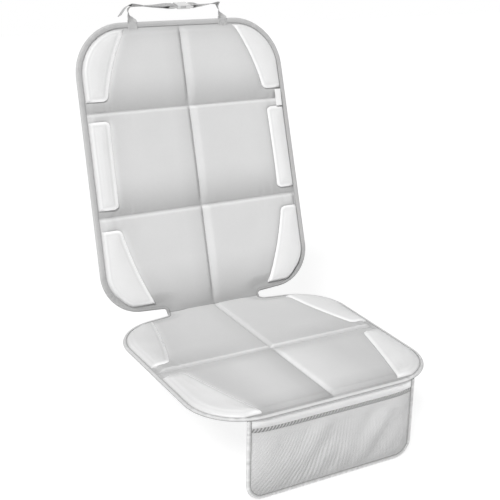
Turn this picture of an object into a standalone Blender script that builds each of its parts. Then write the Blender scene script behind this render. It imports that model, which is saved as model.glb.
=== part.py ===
"""Padded car seat protector mat with a net pocket and a buckled headrest strap.

The mat is cut and sewn flat, then bent at the fold between its seat and its back.
A flat place on it is (across, along, height): across to the right, along from the fold
(positive up the back, negative towards the seat's front edge) and height above the
underside. bend() turns a flat place into metres in the part's own frame.
Frame: +X right, -Y front, +Z up; the origin is the centre of the seat's underside.
"""
import math

import bmesh
import bpy
from mathutils import Matrix, Vector

# Overall sizes of the flat mat, in metres
BACK_LENGTH = 0.601
SEAT_LENGTH = 0.474
BACK_TOP_WIDTH = 0.464
BACK_LOW_WIDTH = 0.484
SEAT_REAR_WIDTH = 0.500
SEAT_FRONT_WIDTH = 0.481
NECK_WIDTH = 0.216
TOP_CORNER = 0.107
LOW_CORNER = 0.082
SHOULDER_CORNER = 0.108
FRONT_CORNER = 0.106
NOTCH_CORNER = 0.007
NOTCH_SEAT_CORNER = 0.013
NOTCH_ABOVE = 0.0120
NOTCH_BELOW = 0.0140
BACK_EDGE_RISE = 0.009
SHOULDER_FALL = 0.022

# How the mat is bent
RECLINE = math.radians(16.4)
FOLD_RADIUS = 0.016
FOLD_ROWS = (0.0035, 0.0070, 0.0105)
LEVEL_MARGIN = 0.0004

# Layers, from the underside up
GAP = 0.0003
BACKING_THICKNESS = 0.0010
FOAM_LEAST = 0.0009
COVER_THICKNESS = 0.0010
CROWN = 0.0070
PILLOW = 0.048
PILLOW_STEPS = (0.012, 0.030)
CROWN_STEPS = (0.030,)
FIELD_MARGIN = 0.002
NARROW_FIELD = 2.2
CORNER_STEPS = 7
SMALL_CORNER_STEPS = 6
TAPE_THICKNESS = 0.0009
TAPE_WIDTH = 0.012
TAPE_SOFT = 0.9
RIM_MARGIN = 0.001
RIM_RAMP = 0.006

# Seams across the panels, as distances from the fold
UPPER_SEAM = 0.4245
LOWER_SEAM = 0.2145
SEAT_SEAM = 0.2475

# Side patches: insets are from the mat's side to the patch's inner edge
PATCH_EDGE = 0.0014
PATCH_RISE = 0.0070
PATCH_BEVEL = 0.006
PATCH_CORNER = 0.009
PATCH_ABOVE_UPPER_SEAM = 0.022
PATCH_BELOW_UPPER_SEAM = 0.018
PATCH_ABOVE_LOWER_SEAM = 0.015
PATCH_BELOW_LOWER_SEAM = 0.027
PATCH_BEHIND_SEAT_SEAM = 0.0245
PATCH_BEFORE_SEAT_SEAM = 0.024
PATCH_TIP = 0.0015
PATCH_GROOVE = 0.0018
UPPER_PATCH_INSETS = (0.0565, 0.075, 0.108)
MIDDLE_PATCH_INSETS = (0.053, 0.053, 0.054)
LOWER_PATCH_INSETS = (0.107, 0.074, 0.052)
REAR_PATCH_INSETS = (0.043, 0.0715, 0.092)
FRONT_PATCH_INSETS = (0.100, 0.0725, 0.0485)

# Woven side tag
TAG_WIDTH = 0.019
TAG_LENGTH = 0.036
TAG_THICKNESS = 0.0008

# Pocket below the seat's front edge
POCKET_WIDTH = 0.344
POCKET_DROP = 0.156
POCKET_CORNER = 0.033
POCKET_SETBACK = 0.0045
POCKET_BACK_THICKNESS = 0.0010
NET_THICKNESS = 0.0008
NET_DROP = 0.0165
NET_BULGE = 0.012
HEM_WIDTH = 0.006
HEM_THICKNESS = 0.0008
POCKET_TAPE_WIDTH = 0.007
POCKET_TAPE_THICKNESS = 0.0008

# Headrest strap and its buckle
STRAP_WIDTH = 0.020
STRAP_THICKNESS = 0.0012
STRAP_SPREAD = 0.1025
STRAP_SEWN = 0.024
STRAP_RISE = 0.034
STRAP_SAG = 0.003
STRAP_TILT = math.radians(64.0)
STRAP_TURN = 0.009
STRAP_LEAVE = 0.001
STRAP_LEAN = 0.004
TAIL_DROP = 0.019
TAIL_REACH = 0.023
SEWN_RETURN = 0.022
BUCKLE_OFFSET = 0.015
BUCKLE_WIDTH = 0.026
SOCKET_LENGTH = 0.028
SOCKET_THICKNESS = 0.0080
BUCKLE_BAR_THICKNESS = 0.0040
BAR_LENGTH = 0.0035
SLOT_LENGTH = 0.0038
SLOT_RECESS = 0.0004
SHELL_WALL = 0.0017
PRONG_WIDTH = 0.0034
PRONG_THICKNESS = 0.0040
PRONG_RUN = 0.020
WINDOW_START = 0.006
WINDOW_LENGTH = 0.012

# Edges sharper than this stay sharp
SHARP_ANGLE = math.radians(40.0)

# Stands for a place well inside a piece, far from its edge
INSIDE = 1.0

# Heights and distances that follow from the layers
TAPE_STACK = TAPE_THICKNESS + GAP
RIM_WIDTH = TAPE_WIDTH + RIM_MARGIN
RAMP_WIDTH = RIM_WIDTH + RIM_RAMP
RIM_UNDER = TAPE_STACK
FOAM_UNDER = BACKING_THICKNESS + GAP
SEWN_TOP = FOAM_UNDER + FOAM_LEAST + GAP + COVER_THICKNESS
FACE_ON_RIM = max(SEWN_TOP, RIM_UNDER + BACKING_THICKNESS + GAP + COVER_THICKNESS)
TAPE_TOP = FACE_ON_RIM + TAPE_STACK
FOLD_TURN = math.pi / 2 - RECLINE
FOLD_ARC = FOLD_RADIUS * FOLD_TURN
FOLD_TANGENT = FOLD_RADIUS * math.tan(FOLD_TURN / 2)
FOLD_Y = SEAT_LENGTH / 2
SOCKET_HALF = SOCKET_LENGTH / 2
SOCKET_SLOT = SOCKET_HALF + SLOT_LENGTH / 2
SOCKET_END = SOCKET_HALF + SLOT_LENGTH + BAR_LENGTH
PLUG_SLOT = -SOCKET_HALF - BAR_LENGTH - SLOT_LENGTH / 2
PLUG_END = PLUG_SLOT - 1.5 * SLOT_LENGTH - 2 * BAR_LENGTH
STRAP_OVER = 0.55 * SLOT_LENGTH


def clear_scene():
    """Removes what a new file starts with."""
    for thing in list(bpy.data.objects):
        bpy.data.objects.remove(thing, do_unlink=True)


def finish(name, colour, roughness, metallic=0.0):
    """A material with one colour."""
    material = bpy.data.materials.new(name)
    material.use_nodes = True
    shader = material.node_tree.nodes["Principled BSDF"]
    shader.inputs["Base Color"].default_value = (*colour, 1.0)
    shader.inputs["Roughness"].default_value = roughness
    shader.inputs["Metallic"].default_value = metallic
    return material


def build(name, points, faces, material):
    """An object from points and faces, with its faces turned outwards."""
    mesh = bpy.data.meshes.new(name)
    mesh.from_pydata([tuple(point) for point in points], [], faces)
    work = bmesh.new()
    work.from_mesh(mesh)
    bmesh.ops.recalc_face_normals(work, faces=work.faces)
    work.to_mesh(mesh)
    work.free()
    mesh.shade_smooth()
    mesh.set_sharp_from_angle(angle=SHARP_ANGLE)
    mesh.materials.append(material)
    made = bpy.data.objects.new(name, mesh)
    bpy.context.collection.objects.link(made)
    return made


def bend(across, along, height):
    """Where a place on the flat mat lies once the mat is bent at its fold."""
    turned = min(max((along + FOLD_ARC / 2) / FOLD_RADIUS, 0.0), FOLD_TURN)
    y = FOLD_Y - FOLD_TANGENT + FOLD_RADIUS * math.sin(turned)
    z = FOLD_RADIUS * (1.0 - math.cos(turned))
    beyond = 0.0
    if along > FOLD_ARC / 2:
        beyond = along - FOLD_ARC / 2
    elif along < -FOLD_ARC / 2:
        beyond = along + FOLD_ARC / 2
    y += beyond * math.cos(turned) - height * math.sin(turned)
    z += beyond * math.sin(turned) + height * math.cos(turned)
    return Vector((across, y, z))


def rounded(corners):
    """Points and outward normals along a line of corners, each with its own radius.

    The first and last corners only give the line's directions there.
    """
    found = []
    for before, corner, after in zip(corners, corners[1:], corners[2:]):
        here = Vector(corner[:2])
        back = (Vector(before[:2]) - here).normalized()
        onward = (Vector(after[:2]) - here).normalized()
        radius = corner[2]
        half = back.angle(onward) / 2
        centre = here + (back + onward).normalized() * (radius / math.sin(half))
        start = here + back * (radius / math.tan(half))
        end = here + onward * (radius / math.tan(half))
        turn = back.cross(onward)
        sign = 1.0 if turn > 0.0 else -1.0
        first = start - centre
        steps = SMALL_CORNER_STEPS if radius < RAMP_WIDTH else CORNER_STEPS
        sweep = first.angle_signed(end - centre)
        for step in range(steps + 1):
            spoke = first.copy()
            spoke.rotate(Matrix.Rotation(-sweep * step / steps, 2))
            found.append((centre + spoke, spoke.normalized() * sign))
    return found


def with_levels(line, levels):
    """The same line with a point added wherever it crosses one of the levels."""
    full = [line[0]]
    for (start, start_normal), (end, end_normal) in zip(line, line[1:]):
        low = min(start.y, end.y) + LEVEL_MARGIN
        high = max(start.y, end.y) - LEVEL_MARGIN
        crossed = sorted(level for level in levels if low < level < high)
        if end.y < start.y:
            crossed.reverse()
        for level in crossed:
            share = (level - start.y) / (end.y - start.y)
            normal = start_normal.lerp(end_normal, share).normalized()
            full.append((start.lerp(end, share), normal))
        full.append((end, end_normal))
    return full


def read_line(line, level):
    """The across value of a line of points where it passes a level."""
    for start, end in zip(line, line[1:]):
        low, high = sorted((start.y, end.y))
        if low <= level <= high and high > low:
            return start.x + (end.x - start.x) * (level - start.y) / (end.y - start.y)
    return min(line, key=lambda point: abs(point.y - level)).x


def mat_side(for_quilting):
    """The right side of the flat mat, from its top edge to its front edge."""
    corners = (
        (0.0, BACK_LENGTH, 0.0),
        (BACK_TOP_WIDTH / 2, BACK_LENGTH, TOP_CORNER),
        (BACK_LOW_WIDTH / 2, NOTCH_ABOVE + BACK_EDGE_RISE, LOW_CORNER),
        (NECK_WIDTH / 2, NOTCH_ABOVE, NOTCH_CORNER),
        (NECK_WIDTH / 2, -NOTCH_BELOW, NOTCH_SEAT_CORNER),
        (SEAT_REAR_WIDTH / 2, -NOTCH_BELOW - SHOULDER_FALL, SHOULDER_CORNER),
        (SEAT_FRONT_WIDTH / 2, -SEAT_LENGTH, FRONT_CORNER),
        (0.0, -SEAT_LENGTH, 0.0),
    )
    levels = [0.0]
    for step in FOLD_ROWS:
        levels += [step, -step]
    if for_quilting:
        steps = (*PILLOW_STEPS, PILLOW, *[PILLOW + step for step in CROWN_STEPS])
        for seam in (UPPER_SEAM, LOWER_SEAM, -SEAT_SEAM):
            levels.append(seam)
            for step in steps:
                levels += [seam + step, seam - step]
    return with_levels(rounded(corners), levels)


def side_width(along):
    """Half the mat's width at a level, with its corners left square."""
    if along >= 0.0:
        share = along / BACK_LENGTH
        return (BACK_LOW_WIDTH + (BACK_TOP_WIDTH - BACK_LOW_WIDTH) * share) / 2
    share = -along / SEAT_LENGTH
    return (SEAT_REAR_WIDTH + (SEAT_FRONT_WIDTH - SEAT_REAR_WIDTH) * share) / 2


def curve_through(low, middle, high, share):
    """The value at a share of the way along a smooth curve through three values."""
    near = low * (1.0 - share) * (1.0 - 2.0 * share)
    far = high * share * (2.0 * share - 1.0)
    return near + middle * 4.0 * share * (1.0 - share) + far


def slope_share(width, inset):
    """Share of a sloping edge, out from the neck, at which a patch's inner edge meets it."""
    slope = (width - NECK_WIDTH) / 2
    return (slope - inset) / slope


def patch_table():
    """Each side patch: name, lower level, upper level, insets, rounded ends."""
    reach = TAPE_WIDTH + PATCH_TIP
    low_share = slope_share(BACK_LOW_WIDTH, LOWER_PATCH_INSETS[0])
    low_edge = NOTCH_ABOVE + reach + BACK_EDGE_RISE * low_share
    rear_share = slope_share(SEAT_REAR_WIDTH, REAR_PATCH_INSETS[2])
    rear_edge = -NOTCH_BELOW - reach - SHOULDER_FALL * rear_share
    return (
        (
            "upper", UPPER_SEAM + PATCH_ABOVE_UPPER_SEAM, BACK_LENGTH - reach,
            UPPER_PATCH_INSETS, (True, False),
        ),
        (
            "middle", LOWER_SEAM + PATCH_ABOVE_LOWER_SEAM, UPPER_SEAM - PATCH_BELOW_UPPER_SEAM,
            MIDDLE_PATCH_INSETS, (True, True),
        ),
        (
            "lower", low_edge, LOWER_SEAM - PATCH_BELOW_LOWER_SEAM,
            LOWER_PATCH_INSETS, (False, True),
        ),
        (
            "rear", -SEAT_SEAM + PATCH_BEHIND_SEAT_SEAM, rear_edge,
            REAR_PATCH_INSETS, (True, False),
        ),
        (
            "front", -SEAT_LENGTH + reach, -SEAT_SEAM - PATCH_BEFORE_SEAT_SEAM,
            FRONT_PATCH_INSETS, (False, True),
        ),
    )


def field_edge(along):
    """How far out the quilted field reaches at a level: to the patches beside it."""
    places = []
    for _, low, high, insets, _ in patch_table():
        for step in range(9):
            share = step / 8
            level = low + (high - low) * share
            inset = curve_through(*insets, share) + PATCH_GROOVE
            places.append((level, side_width(level) - inset))
    places.sort()
    if along <= places[0][0]:
        return places[0][1]
    for (low, start), (high, end) in zip(places, places[1:]):
        if low <= along <= high:
            return start + (end - start) * (along - low) / (high - low)
    return places[-1][1]


def columns_at(level, limit):
    """Across values of the quilted field's grid at one level, from the centre out."""
    edge = min(field_edge(level), limit - FIELD_MARGIN)
    steps = (*PILLOW_STEPS, PILLOW)
    scale = min(1.0, edge / (NARROW_FIELD * PILLOW))
    inner = [step * scale for step in steps]
    return [0.0, *inner, *[edge - step for step in reversed(inner)], edge]


class FlatGrid:
    """Cells of a flat piece; each place keeps its distance from the piece's edge."""

    def __init__(self):
        self.places = []
        self.index = {}
        self.cells = []

    def place(self, across, along, inside):
        key = (round(across, 6), round(along, 6))
        if key not in self.index:
            self.index[key] = len(self.places)
            self.places.append((across, along, inside))
        return self.index[key]

    def cell(self, corners):
        """Adds a four-sided cell and its twin on the left."""
        for side in (1.0, -1.0):
            ring = []
            for across, along, inside in corners:
                found = self.place(side * across if across else 0.0, along, inside)
                if found not in ring:
                    ring.append(found)
            if len(ring) > 2:
                self.cells.append(ring)

    def rows(self, rows):
        for row, following in zip(rows, rows[1:]):
            for near, far, far_next, near_next in zip(row, row[1:], following[1:], following):
                self.cell((near, far, far_next, near_next))


def flat_grid(side, rings, columns, end_sign, first_ring=0):
    """The grid of a piece, from its open end to the straight edge at its far end.

    side is the right side's points and normals, rings are distances in from the edge.
    """
    grid = FlatGrid()
    rows = []
    for point, normal in side:
        row = []
        for ring in reversed(rings[first_ring:]):
            inner = point - normal * ring
            row.append((inner.x, inner.y, ring))
        field = [(across, row[0][1], INSIDE) for across in columns(row[0][1], row[0][0])]
        rows.append(field + row)
    grid.rows(rows)
    far_point = side[-1][0]
    field = [place[0] for place in rows[-1][:-len(rings[first_ring:])]] + [far_point.x]
    ends = []
    for ring in reversed(rings[first_ring:]):
        level = far_point.y - end_sign * ring
        ends.append([(across, level, ring) for across in field])
    ends[0] = [(across, ends[0][0][1], INSIDE) for across in field[:-1]] + [ends[0][-1]]
    grid.rows(ends)
    return grid


def layer(name, grid, under, top, put, material):
    """A closed solid from a flat grid, between an under height and a top height."""
    count = len(grid.places)
    points = []
    for height in (under, top):
        for across, along, inside in grid.places:
            points.append(put(across, along, height(across, along, inside)))
    faces = []
    used = set()
    triangles = []
    for ring in grid.cells:
        triangles += [(ring[0], near, far) for near, far in zip(ring[1:], ring[2:])]
    for ring in triangles:
        area = 0.0
        for start, end in zip(ring, ring[1:] + ring[:1]):
            area += grid.places[start][0] * grid.places[end][1]
            area -= grid.places[end][0] * grid.places[start][1]
        if area < 0.0:
            ring = ring[::-1]
        faces.append([number + count for number in ring])
        faces.append(ring[::-1])
        used.update(zip(ring, ring[1:] + ring[:1]))
    for start, end in used:
        if (end, start) not in used:
            faces.append([start, end, end + count, start + count])
    return build(name, points, faces, material)


def pillow(distance):
    """Share of the full crown at a distance from the nearest seam."""
    share = min(max(distance / PILLOW, 0.0), 1.0)
    return 1.0 - (1.0 - share) ** 2


def from_edge(side, across, along):
    """Distance from a place on the flat mat to the mat's outline."""
    here = Vector((abs(across), along))
    nearest = INSIDE
    for (start, _), (end, _) in zip(side, side[1:]):
        step = end - start
        share = min(max((here - start).dot(step) / step.length_squared, 0.0), 1.0)
        nearest = min(nearest, (start + step * share - here).length)
    ends = min(BACK_LENGTH - along, along + SEAT_LENGTH)
    return min(nearest, ends)


def face_height(side):
    """The height of the cover's face: flat at seams, edges and patches, crowned between."""
    seams = (0.0, UPPER_SEAM, LOWER_SEAM, -SEAT_SEAM)

    def height(across, along, inside):
        if inside < RAMP_WIDTH:
            return FACE_ON_RIM
        to_edge = from_edge(side, across, along) - RAMP_WIDTH
        lengthwise = pillow(min(abs(along - seam) for seam in seams))
        crosswise = pillow(min(abs(across), field_edge(along) - abs(across)))
        return FACE_ON_RIM + CROWN * min(lengthwise * crosswise, pillow(to_edge))

    return height


def foam_under(across, along, inside):
    return FOAM_UNDER


def backing_under(across, along, inside):
    return RIM_UNDER if inside < RAMP_WIDTH else 0.0


def backing_top(across, along, inside):
    return backing_under(across, along, inside) + BACKING_THICKNESS


def plain_columns(level, limit):
    return [0.0]


def from_fold(side, sign):
    """The part of a side that lies on the back or on the seat, from the fold out."""
    start = min(range(len(side)), key=lambda number: abs(side[number][0].y))
    return side[:start + 1][::-1] if sign > 0.0 else side[start:]


def make_panels(side, outline, cloth, foam, rubberised):
    """Cover, foam and backing of the back and of the seat."""
    rings = (0.0, RIM_WIDTH, RAMP_WIDTH)
    face = face_height(side)

    def cover_under(across, along, inside):
        return face(across, along, inside) - COVER_THICKNESS

    def foam_top(across, along, inside):
        return cover_under(across, along, inside) - GAP

    for panel, sign in (("back", 1.0), ("seat", -1.0)):
        def put(across, along, height, sign=sign):
            if abs(along) < GAP / 2:
                along = sign * GAP / 2
            return bend(across, along, height)

        quilted = flat_grid(from_fold(side, sign), rings, columns_at, sign)
        inner = flat_grid(from_fold(side, sign), rings, columns_at, sign, first_ring=2)
        plain = flat_grid(from_fold(outline, sign), rings, plain_columns, sign)
        layer(panel + "_cover", quilted, cover_under, face, put, cloth)
        layer(panel + "_foam", inner, foam_under, foam_top, put, foam)
        layer(panel + "_backing", plain, backing_under, backing_top, put, rubberised)


def sweep(name, sections, material, closed):
    """A solid through sections that all have the same number of points."""
    size = len(sections[0])
    points = [point for section in sections for point in section]
    faces = []
    count = len(sections)
    for number in range(count if closed else count - 1):
        here = number * size
        there = (number + 1) % count * size
        for corner in range(size):
            other = (corner + 1) % size
            faces.append((here + corner, here + other, there + other, there + corner))
    if not closed:
        faces.append(tuple(range(size)))
        faces.append(tuple(range((count - 1) * size, count * size)))
    return build(name, points, faces, material)


def mirrored(side):
    """The left side that goes with a right side, in the opposite order."""
    turned = [(Vector((-point.x, point.y)), Vector((-normal.x, normal.y))) for point, normal in side]
    return turned[::-1]


def tape_section(outside, width, thickness, low, high):
    """A folded tape round an edge: offsets out from the edge, and heights."""
    soft = thickness * TAPE_SOFT
    far = outside + thickness
    return (
        (-width, high + thickness),
        (far - soft, high + thickness),
        (far, high + thickness - soft),
        (far, low - thickness + soft),
        (far - soft, low - thickness),
        (-width, low - thickness),
        (-width, low),
        (outside, low),
        (outside, high),
        (-width, high),
    )


def make_edge_tape(side, cloth):
    """One tape folded round the whole outline of the mat."""
    shape = tape_section(GAP, TAPE_WIDTH, TAPE_THICKNESS, TAPE_THICKNESS, FACE_ON_RIM + GAP)
    sections = []
    for point, normal in side + mirrored(side):
        section = []
        for out, height in shape:
            place = point + normal * out
            section.append(bend(place.x, place.y, height))
        sections.append(section)
    sweep("edge_binding", sections, cloth, closed=True)


def make_patches(side, leather):
    """Raised leather-cloth patches beside the quilted fields."""
    tape_edge = [point - normal * (TAPE_WIDTH + GAP) for point, normal in side]
    floor = FACE_ON_RIM + GAP
    for name, low, high, insets, rounds in patch_table():
        ends = (0.0, 0.15 * PATCH_CORNER, 0.5 * PATCH_CORNER, PATCH_CORNER, 1.7 * PATCH_CORNER)
        middle = [low + (high - low) * share for share in (0.3, 0.5, 0.7)]
        levels = [low + end for end in ends] + middle + [high - end for end in reversed(ends)]
        for mirror, hand in ((-1.0, "left"), (1.0, "right")):
            rows = []
            for level in sorted(levels):
                inner = side_width(level) - curve_through(*insets, (level - low) / (high - low))
                for distance, is_round in ((level - low, rounds[0]), (high - level, rounds[1])):
                    if is_round and distance < PATCH_CORNER:
                        rest = PATCH_CORNER - distance
                        inner += PATCH_CORNER - math.sqrt(PATCH_CORNER ** 2 - rest ** 2)
                outer = read_line(tape_edge, level)
                width = outer - inner
                bevel = min(PATCH_BEVEL, 0.3 * width)
                row = []
                for distance in (0.0, bevel / 2, bevel, width / 2, width - bevel, width):
                    to_end = min(level - low, high - level)
                    near = min(distance, to_end, width - distance) / PATCH_BEVEL
                    rise = math.sin(min(near, 1.0) * math.pi / 2)
                    row.append((mirror * (inner + distance), level, rise))
                rows.append(row)
            grid = FlatGrid()
            for row, following in zip(rows, rows[1:]):
                for corners in zip(row, row[1:], following[1:], following):
                    grid.cells.append([grid.place(*corner) for corner in corners])
            layer(
                "patch_" + name + "_" + hand, grid,
                lambda across, along, rise: floor,
                lambda across, along, rise: floor + PATCH_EDGE + (PATCH_RISE - PATCH_EDGE) * rise,
                bend, leather,
            )


def make_tag(side, woven):
    """A small bare tag sewn in at the right-hand binding, over the upper seam."""
    tape_edge = [point - normal * (TAPE_WIDTH + GAP) for point, normal in side]
    low = UPPER_SEAM - TAG_LENGTH / 2
    rows = []
    for level in (low, low + TAG_LENGTH):
        outer = read_line(tape_edge, level)
        rows.append([(outer - TAG_WIDTH, level, INSIDE), (outer, level, INSIDE)])
    grid = FlatGrid()
    corners = (*rows[0], *reversed(rows[1]))
    grid.cells.append([grid.place(*corner) for corner in corners])
    floor = FACE_ON_RIM + GAP
    layer(
        "side_tag", grid,
        lambda across, along, inside: floor,
        lambda across, along, inside: floor + TAG_THICKNESS,
        bend, woven,
    )


def pocket_side(top):
    """The right side of the pocket, from a level down to its bottom edge."""
    corners = (
        (POCKET_WIDTH / 2, top, 0.0),
        (POCKET_WIDTH / 2, -POCKET_DROP, POCKET_CORNER),
        (0.0, -POCKET_DROP, 0.0),
    )
    arc = rounded(corners)
    straight = [(Vector((POCKET_WIDTH / 2, top)), Vector((1.0, 0.0)))]
    levels = [top - (top - arc[0][0].y) * share for share in (0.12, 0.4, 0.7)]
    return with_levels(straight + arc, levels)


def pocket_columns(level, limit):
    return [limit * share for share in (0.0, 0.25, 0.5, 0.75, 0.92)]


def net_bulge(across, along, inside):
    """How far the slack net stands out from the pocket's back."""
    reach = POCKET_WIDTH / 2 - POCKET_TAPE_WIDTH
    if inside < INSIDE:
        return 0.0
    sideways = max(1.0 - (across / reach) ** 4, 0.0)
    height = min(max((along + POCKET_DROP - POCKET_TAPE_WIDTH) / (POCKET_DROP - NET_DROP), 0.0), 1.0)
    return NET_BULGE * sideways * math.sin(height * math.pi / 2) ** 0.8


def make_pocket(cloth, net, elastic, tape):
    """A cloth flap, a slack net on its front, the net's hem, and a tape round both."""
    back_y = -SEAT_LENGTH / 2 + POCKET_SETBACK
    net_y = back_y - POCKET_BACK_THICKNESS - GAP
    rings = (0.0, POCKET_TAPE_WIDTH + RIM_MARGIN)

    def put(across, along, depth):
        return Vector((across, back_y - depth, along))

    flap_side = pocket_side(-GAP)
    flap = flat_grid(flap_side, rings, plain_columns, -1.0)
    layer(
        "pocket_back", flap,
        lambda across, along, inside: 0.0,
        lambda across, along, inside: POCKET_BACK_THICKNESS,
        put, cloth,
    )

    start = back_y - net_y
    net_side = pocket_side(-NET_DROP)
    sheet = flat_grid(net_side, rings, pocket_columns, -1.0)
    layer(
        "pocket_net", sheet,
        lambda across, along, inside: start + net_bulge(across, along, inside),
        lambda across, along, inside: start + net_bulge(across, along, inside) + NET_THICKNESS,
        put, net,
    )

    sections = []
    reach = POCKET_WIDTH / 2 - POCKET_TAPE_WIDTH - GAP
    for number in range(-10, 11):
        across = reach * number / 10
        stand = start + net_bulge(across, -NET_DROP, INSIDE)
        outer = stand + NET_THICKNESS + GAP + HEM_THICKNESS
        top = -NET_DROP + GAP + HEM_THICKNESS
        low = -NET_DROP - HEM_WIDTH
        section = (
            (outer, low), (outer, top), (stand - GAP, top), (stand - GAP, -NET_DROP + GAP),
            (outer - HEM_THICKNESS, -NET_DROP + GAP), (outer - HEM_THICKNESS, low),
        )
        sections.append([put(across, height, depth) for depth, height in section])
    sweep("pocket_hem", sections, elastic, closed=False)

    stack = POCKET_BACK_THICKNESS + GAP + NET_THICKNESS
    shape = tape_section(GAP, POCKET_TAPE_WIDTH, POCKET_TAPE_THICKNESS, -GAP, stack + GAP)
    sections = []
    for point, normal in flap_side + mirrored(flap_side):
        section = []
        for out, depth in shape:
            place = point + normal * out
            section.append(put(place.x, place.y, depth))
        sections.append(section)
    sweep("pocket_binding", sections, tape, closed=False)


def smooth_path(keys, steps):
    """A smooth line through key places; each also carries its width direction."""
    path = []
    last = len(keys) - 1
    for number in range(last):
        near = keys[number]
        far = keys[number + 1]
        before = keys[max(number - 1, 0)]
        after = keys[min(number + 2, last)]
        for step in range(steps):
            share = step / steps
            blended = []
            for part in (0, 1):
                start = near[part]
                end = far[part]
                leave = (end - before[part]) / 2
                arrive = (after[part] - start) / 2
                cube = share ** 3
                square = share ** 2
                blended.append(
                    start * (2 * cube - 3 * square + 1)
                    + leave * (cube - 2 * square + share)
                    + end * (3 * square - 2 * cube)
                    + arrive * (cube - square)
                )
            path.append((blended[0], blended[1].normalized()))
    path.append((keys[-1][0], keys[-1][1].normalized()))
    return path


def ribbon(name, path, material):
    """Flat webbing along a path."""
    sections = []
    last = len(path) - 1
    for number, (point, width) in enumerate(path):
        tangent = (path[min(number + 1, last)][0] - path[max(number - 1, 0)][0]).normalized()
        width = (width - tangent * width.dot(tangent)).normalized()
        normal = tangent.cross(width)
        side = width * STRAP_WIDTH / 2
        lift = normal * STRAP_THICKNESS / 2
        sections.append([
            point - side - lift, point + side - lift,
            point + side + lift, point - side + lift,
        ])
    return sweep(name, sections, material, closed=False)


def strap_frame():
    """Directions on the back panel, and the buckle's own axes and centre."""
    across = Vector((1.0, 0.0, 0.0))
    up = (bend(0.0, BACK_LENGTH, 0.0) - bend(0.0, BACK_LENGTH - 0.1, 0.0)).normalized()
    front = across.cross(up).normalized()
    width = (up * math.cos(STRAP_TILT) - front * math.sin(STRAP_TILT)).normalized()
    face = across.cross(width).normalized()
    centre = bend(BUCKLE_OFFSET, BACK_LENGTH + STRAP_RISE - STRAP_SAG, 0.0)
    return across, front, width, face, centre


def riser_keys(hand, across, front):
    """Key places of one strap from its sewn end to the start of its level run."""
    lift = TAPE_TOP + GAP + STRAP_THICKNESS / 2
    spread = hand * STRAP_SPREAD
    turn = hand * STRAP_TURN
    lean = spread - STRAP_LEAN
    run = BACK_LENGTH + STRAP_RISE
    twisted = across * 0.48 - front * 0.88
    return [
        (bend(spread, BACK_LENGTH - STRAP_SEWN, lift), across),
        (bend(spread, BACK_LENGTH - STRAP_SEWN / 2, lift), across),
        (bend(spread, BACK_LENGTH, lift), across),
        (bend(spread, BACK_LENGTH + TAPE_STACK + STRAP_LEAVE, lift), across),
        (bend(spread - STRAP_LEAN / 2, BACK_LENGTH + STRAP_RISE * 0.25, lift * 0.9), across + twisted),
        (bend(lean, BACK_LENGTH + STRAP_RISE * 0.48, lift * 0.6), twisted),
        (bend(lean, run - STRAP_TURN * 1.05, lift * 0.3), twisted),
        (bend(spread - turn * 0.30, run - STRAP_TURN * 0.26, 0.0), -front),
        (bend(spread - turn, run, 0.0), -front),
    ]


def bow(centre, across, face, width, slot, lift, hand):
    """The half turn of a strap round a buckle's bar, through one slot."""
    turn = []
    for step in range(1, 8):
        angle = math.pi * step / 8
        along = slot + hand * (STRAP_OVER - math.sin(angle) * (SLOT_LENGTH - STRAP_OVER))
        turn.append((centre + across * along + face * (hand * lift * math.cos(angle)), width))
    return turn


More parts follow.
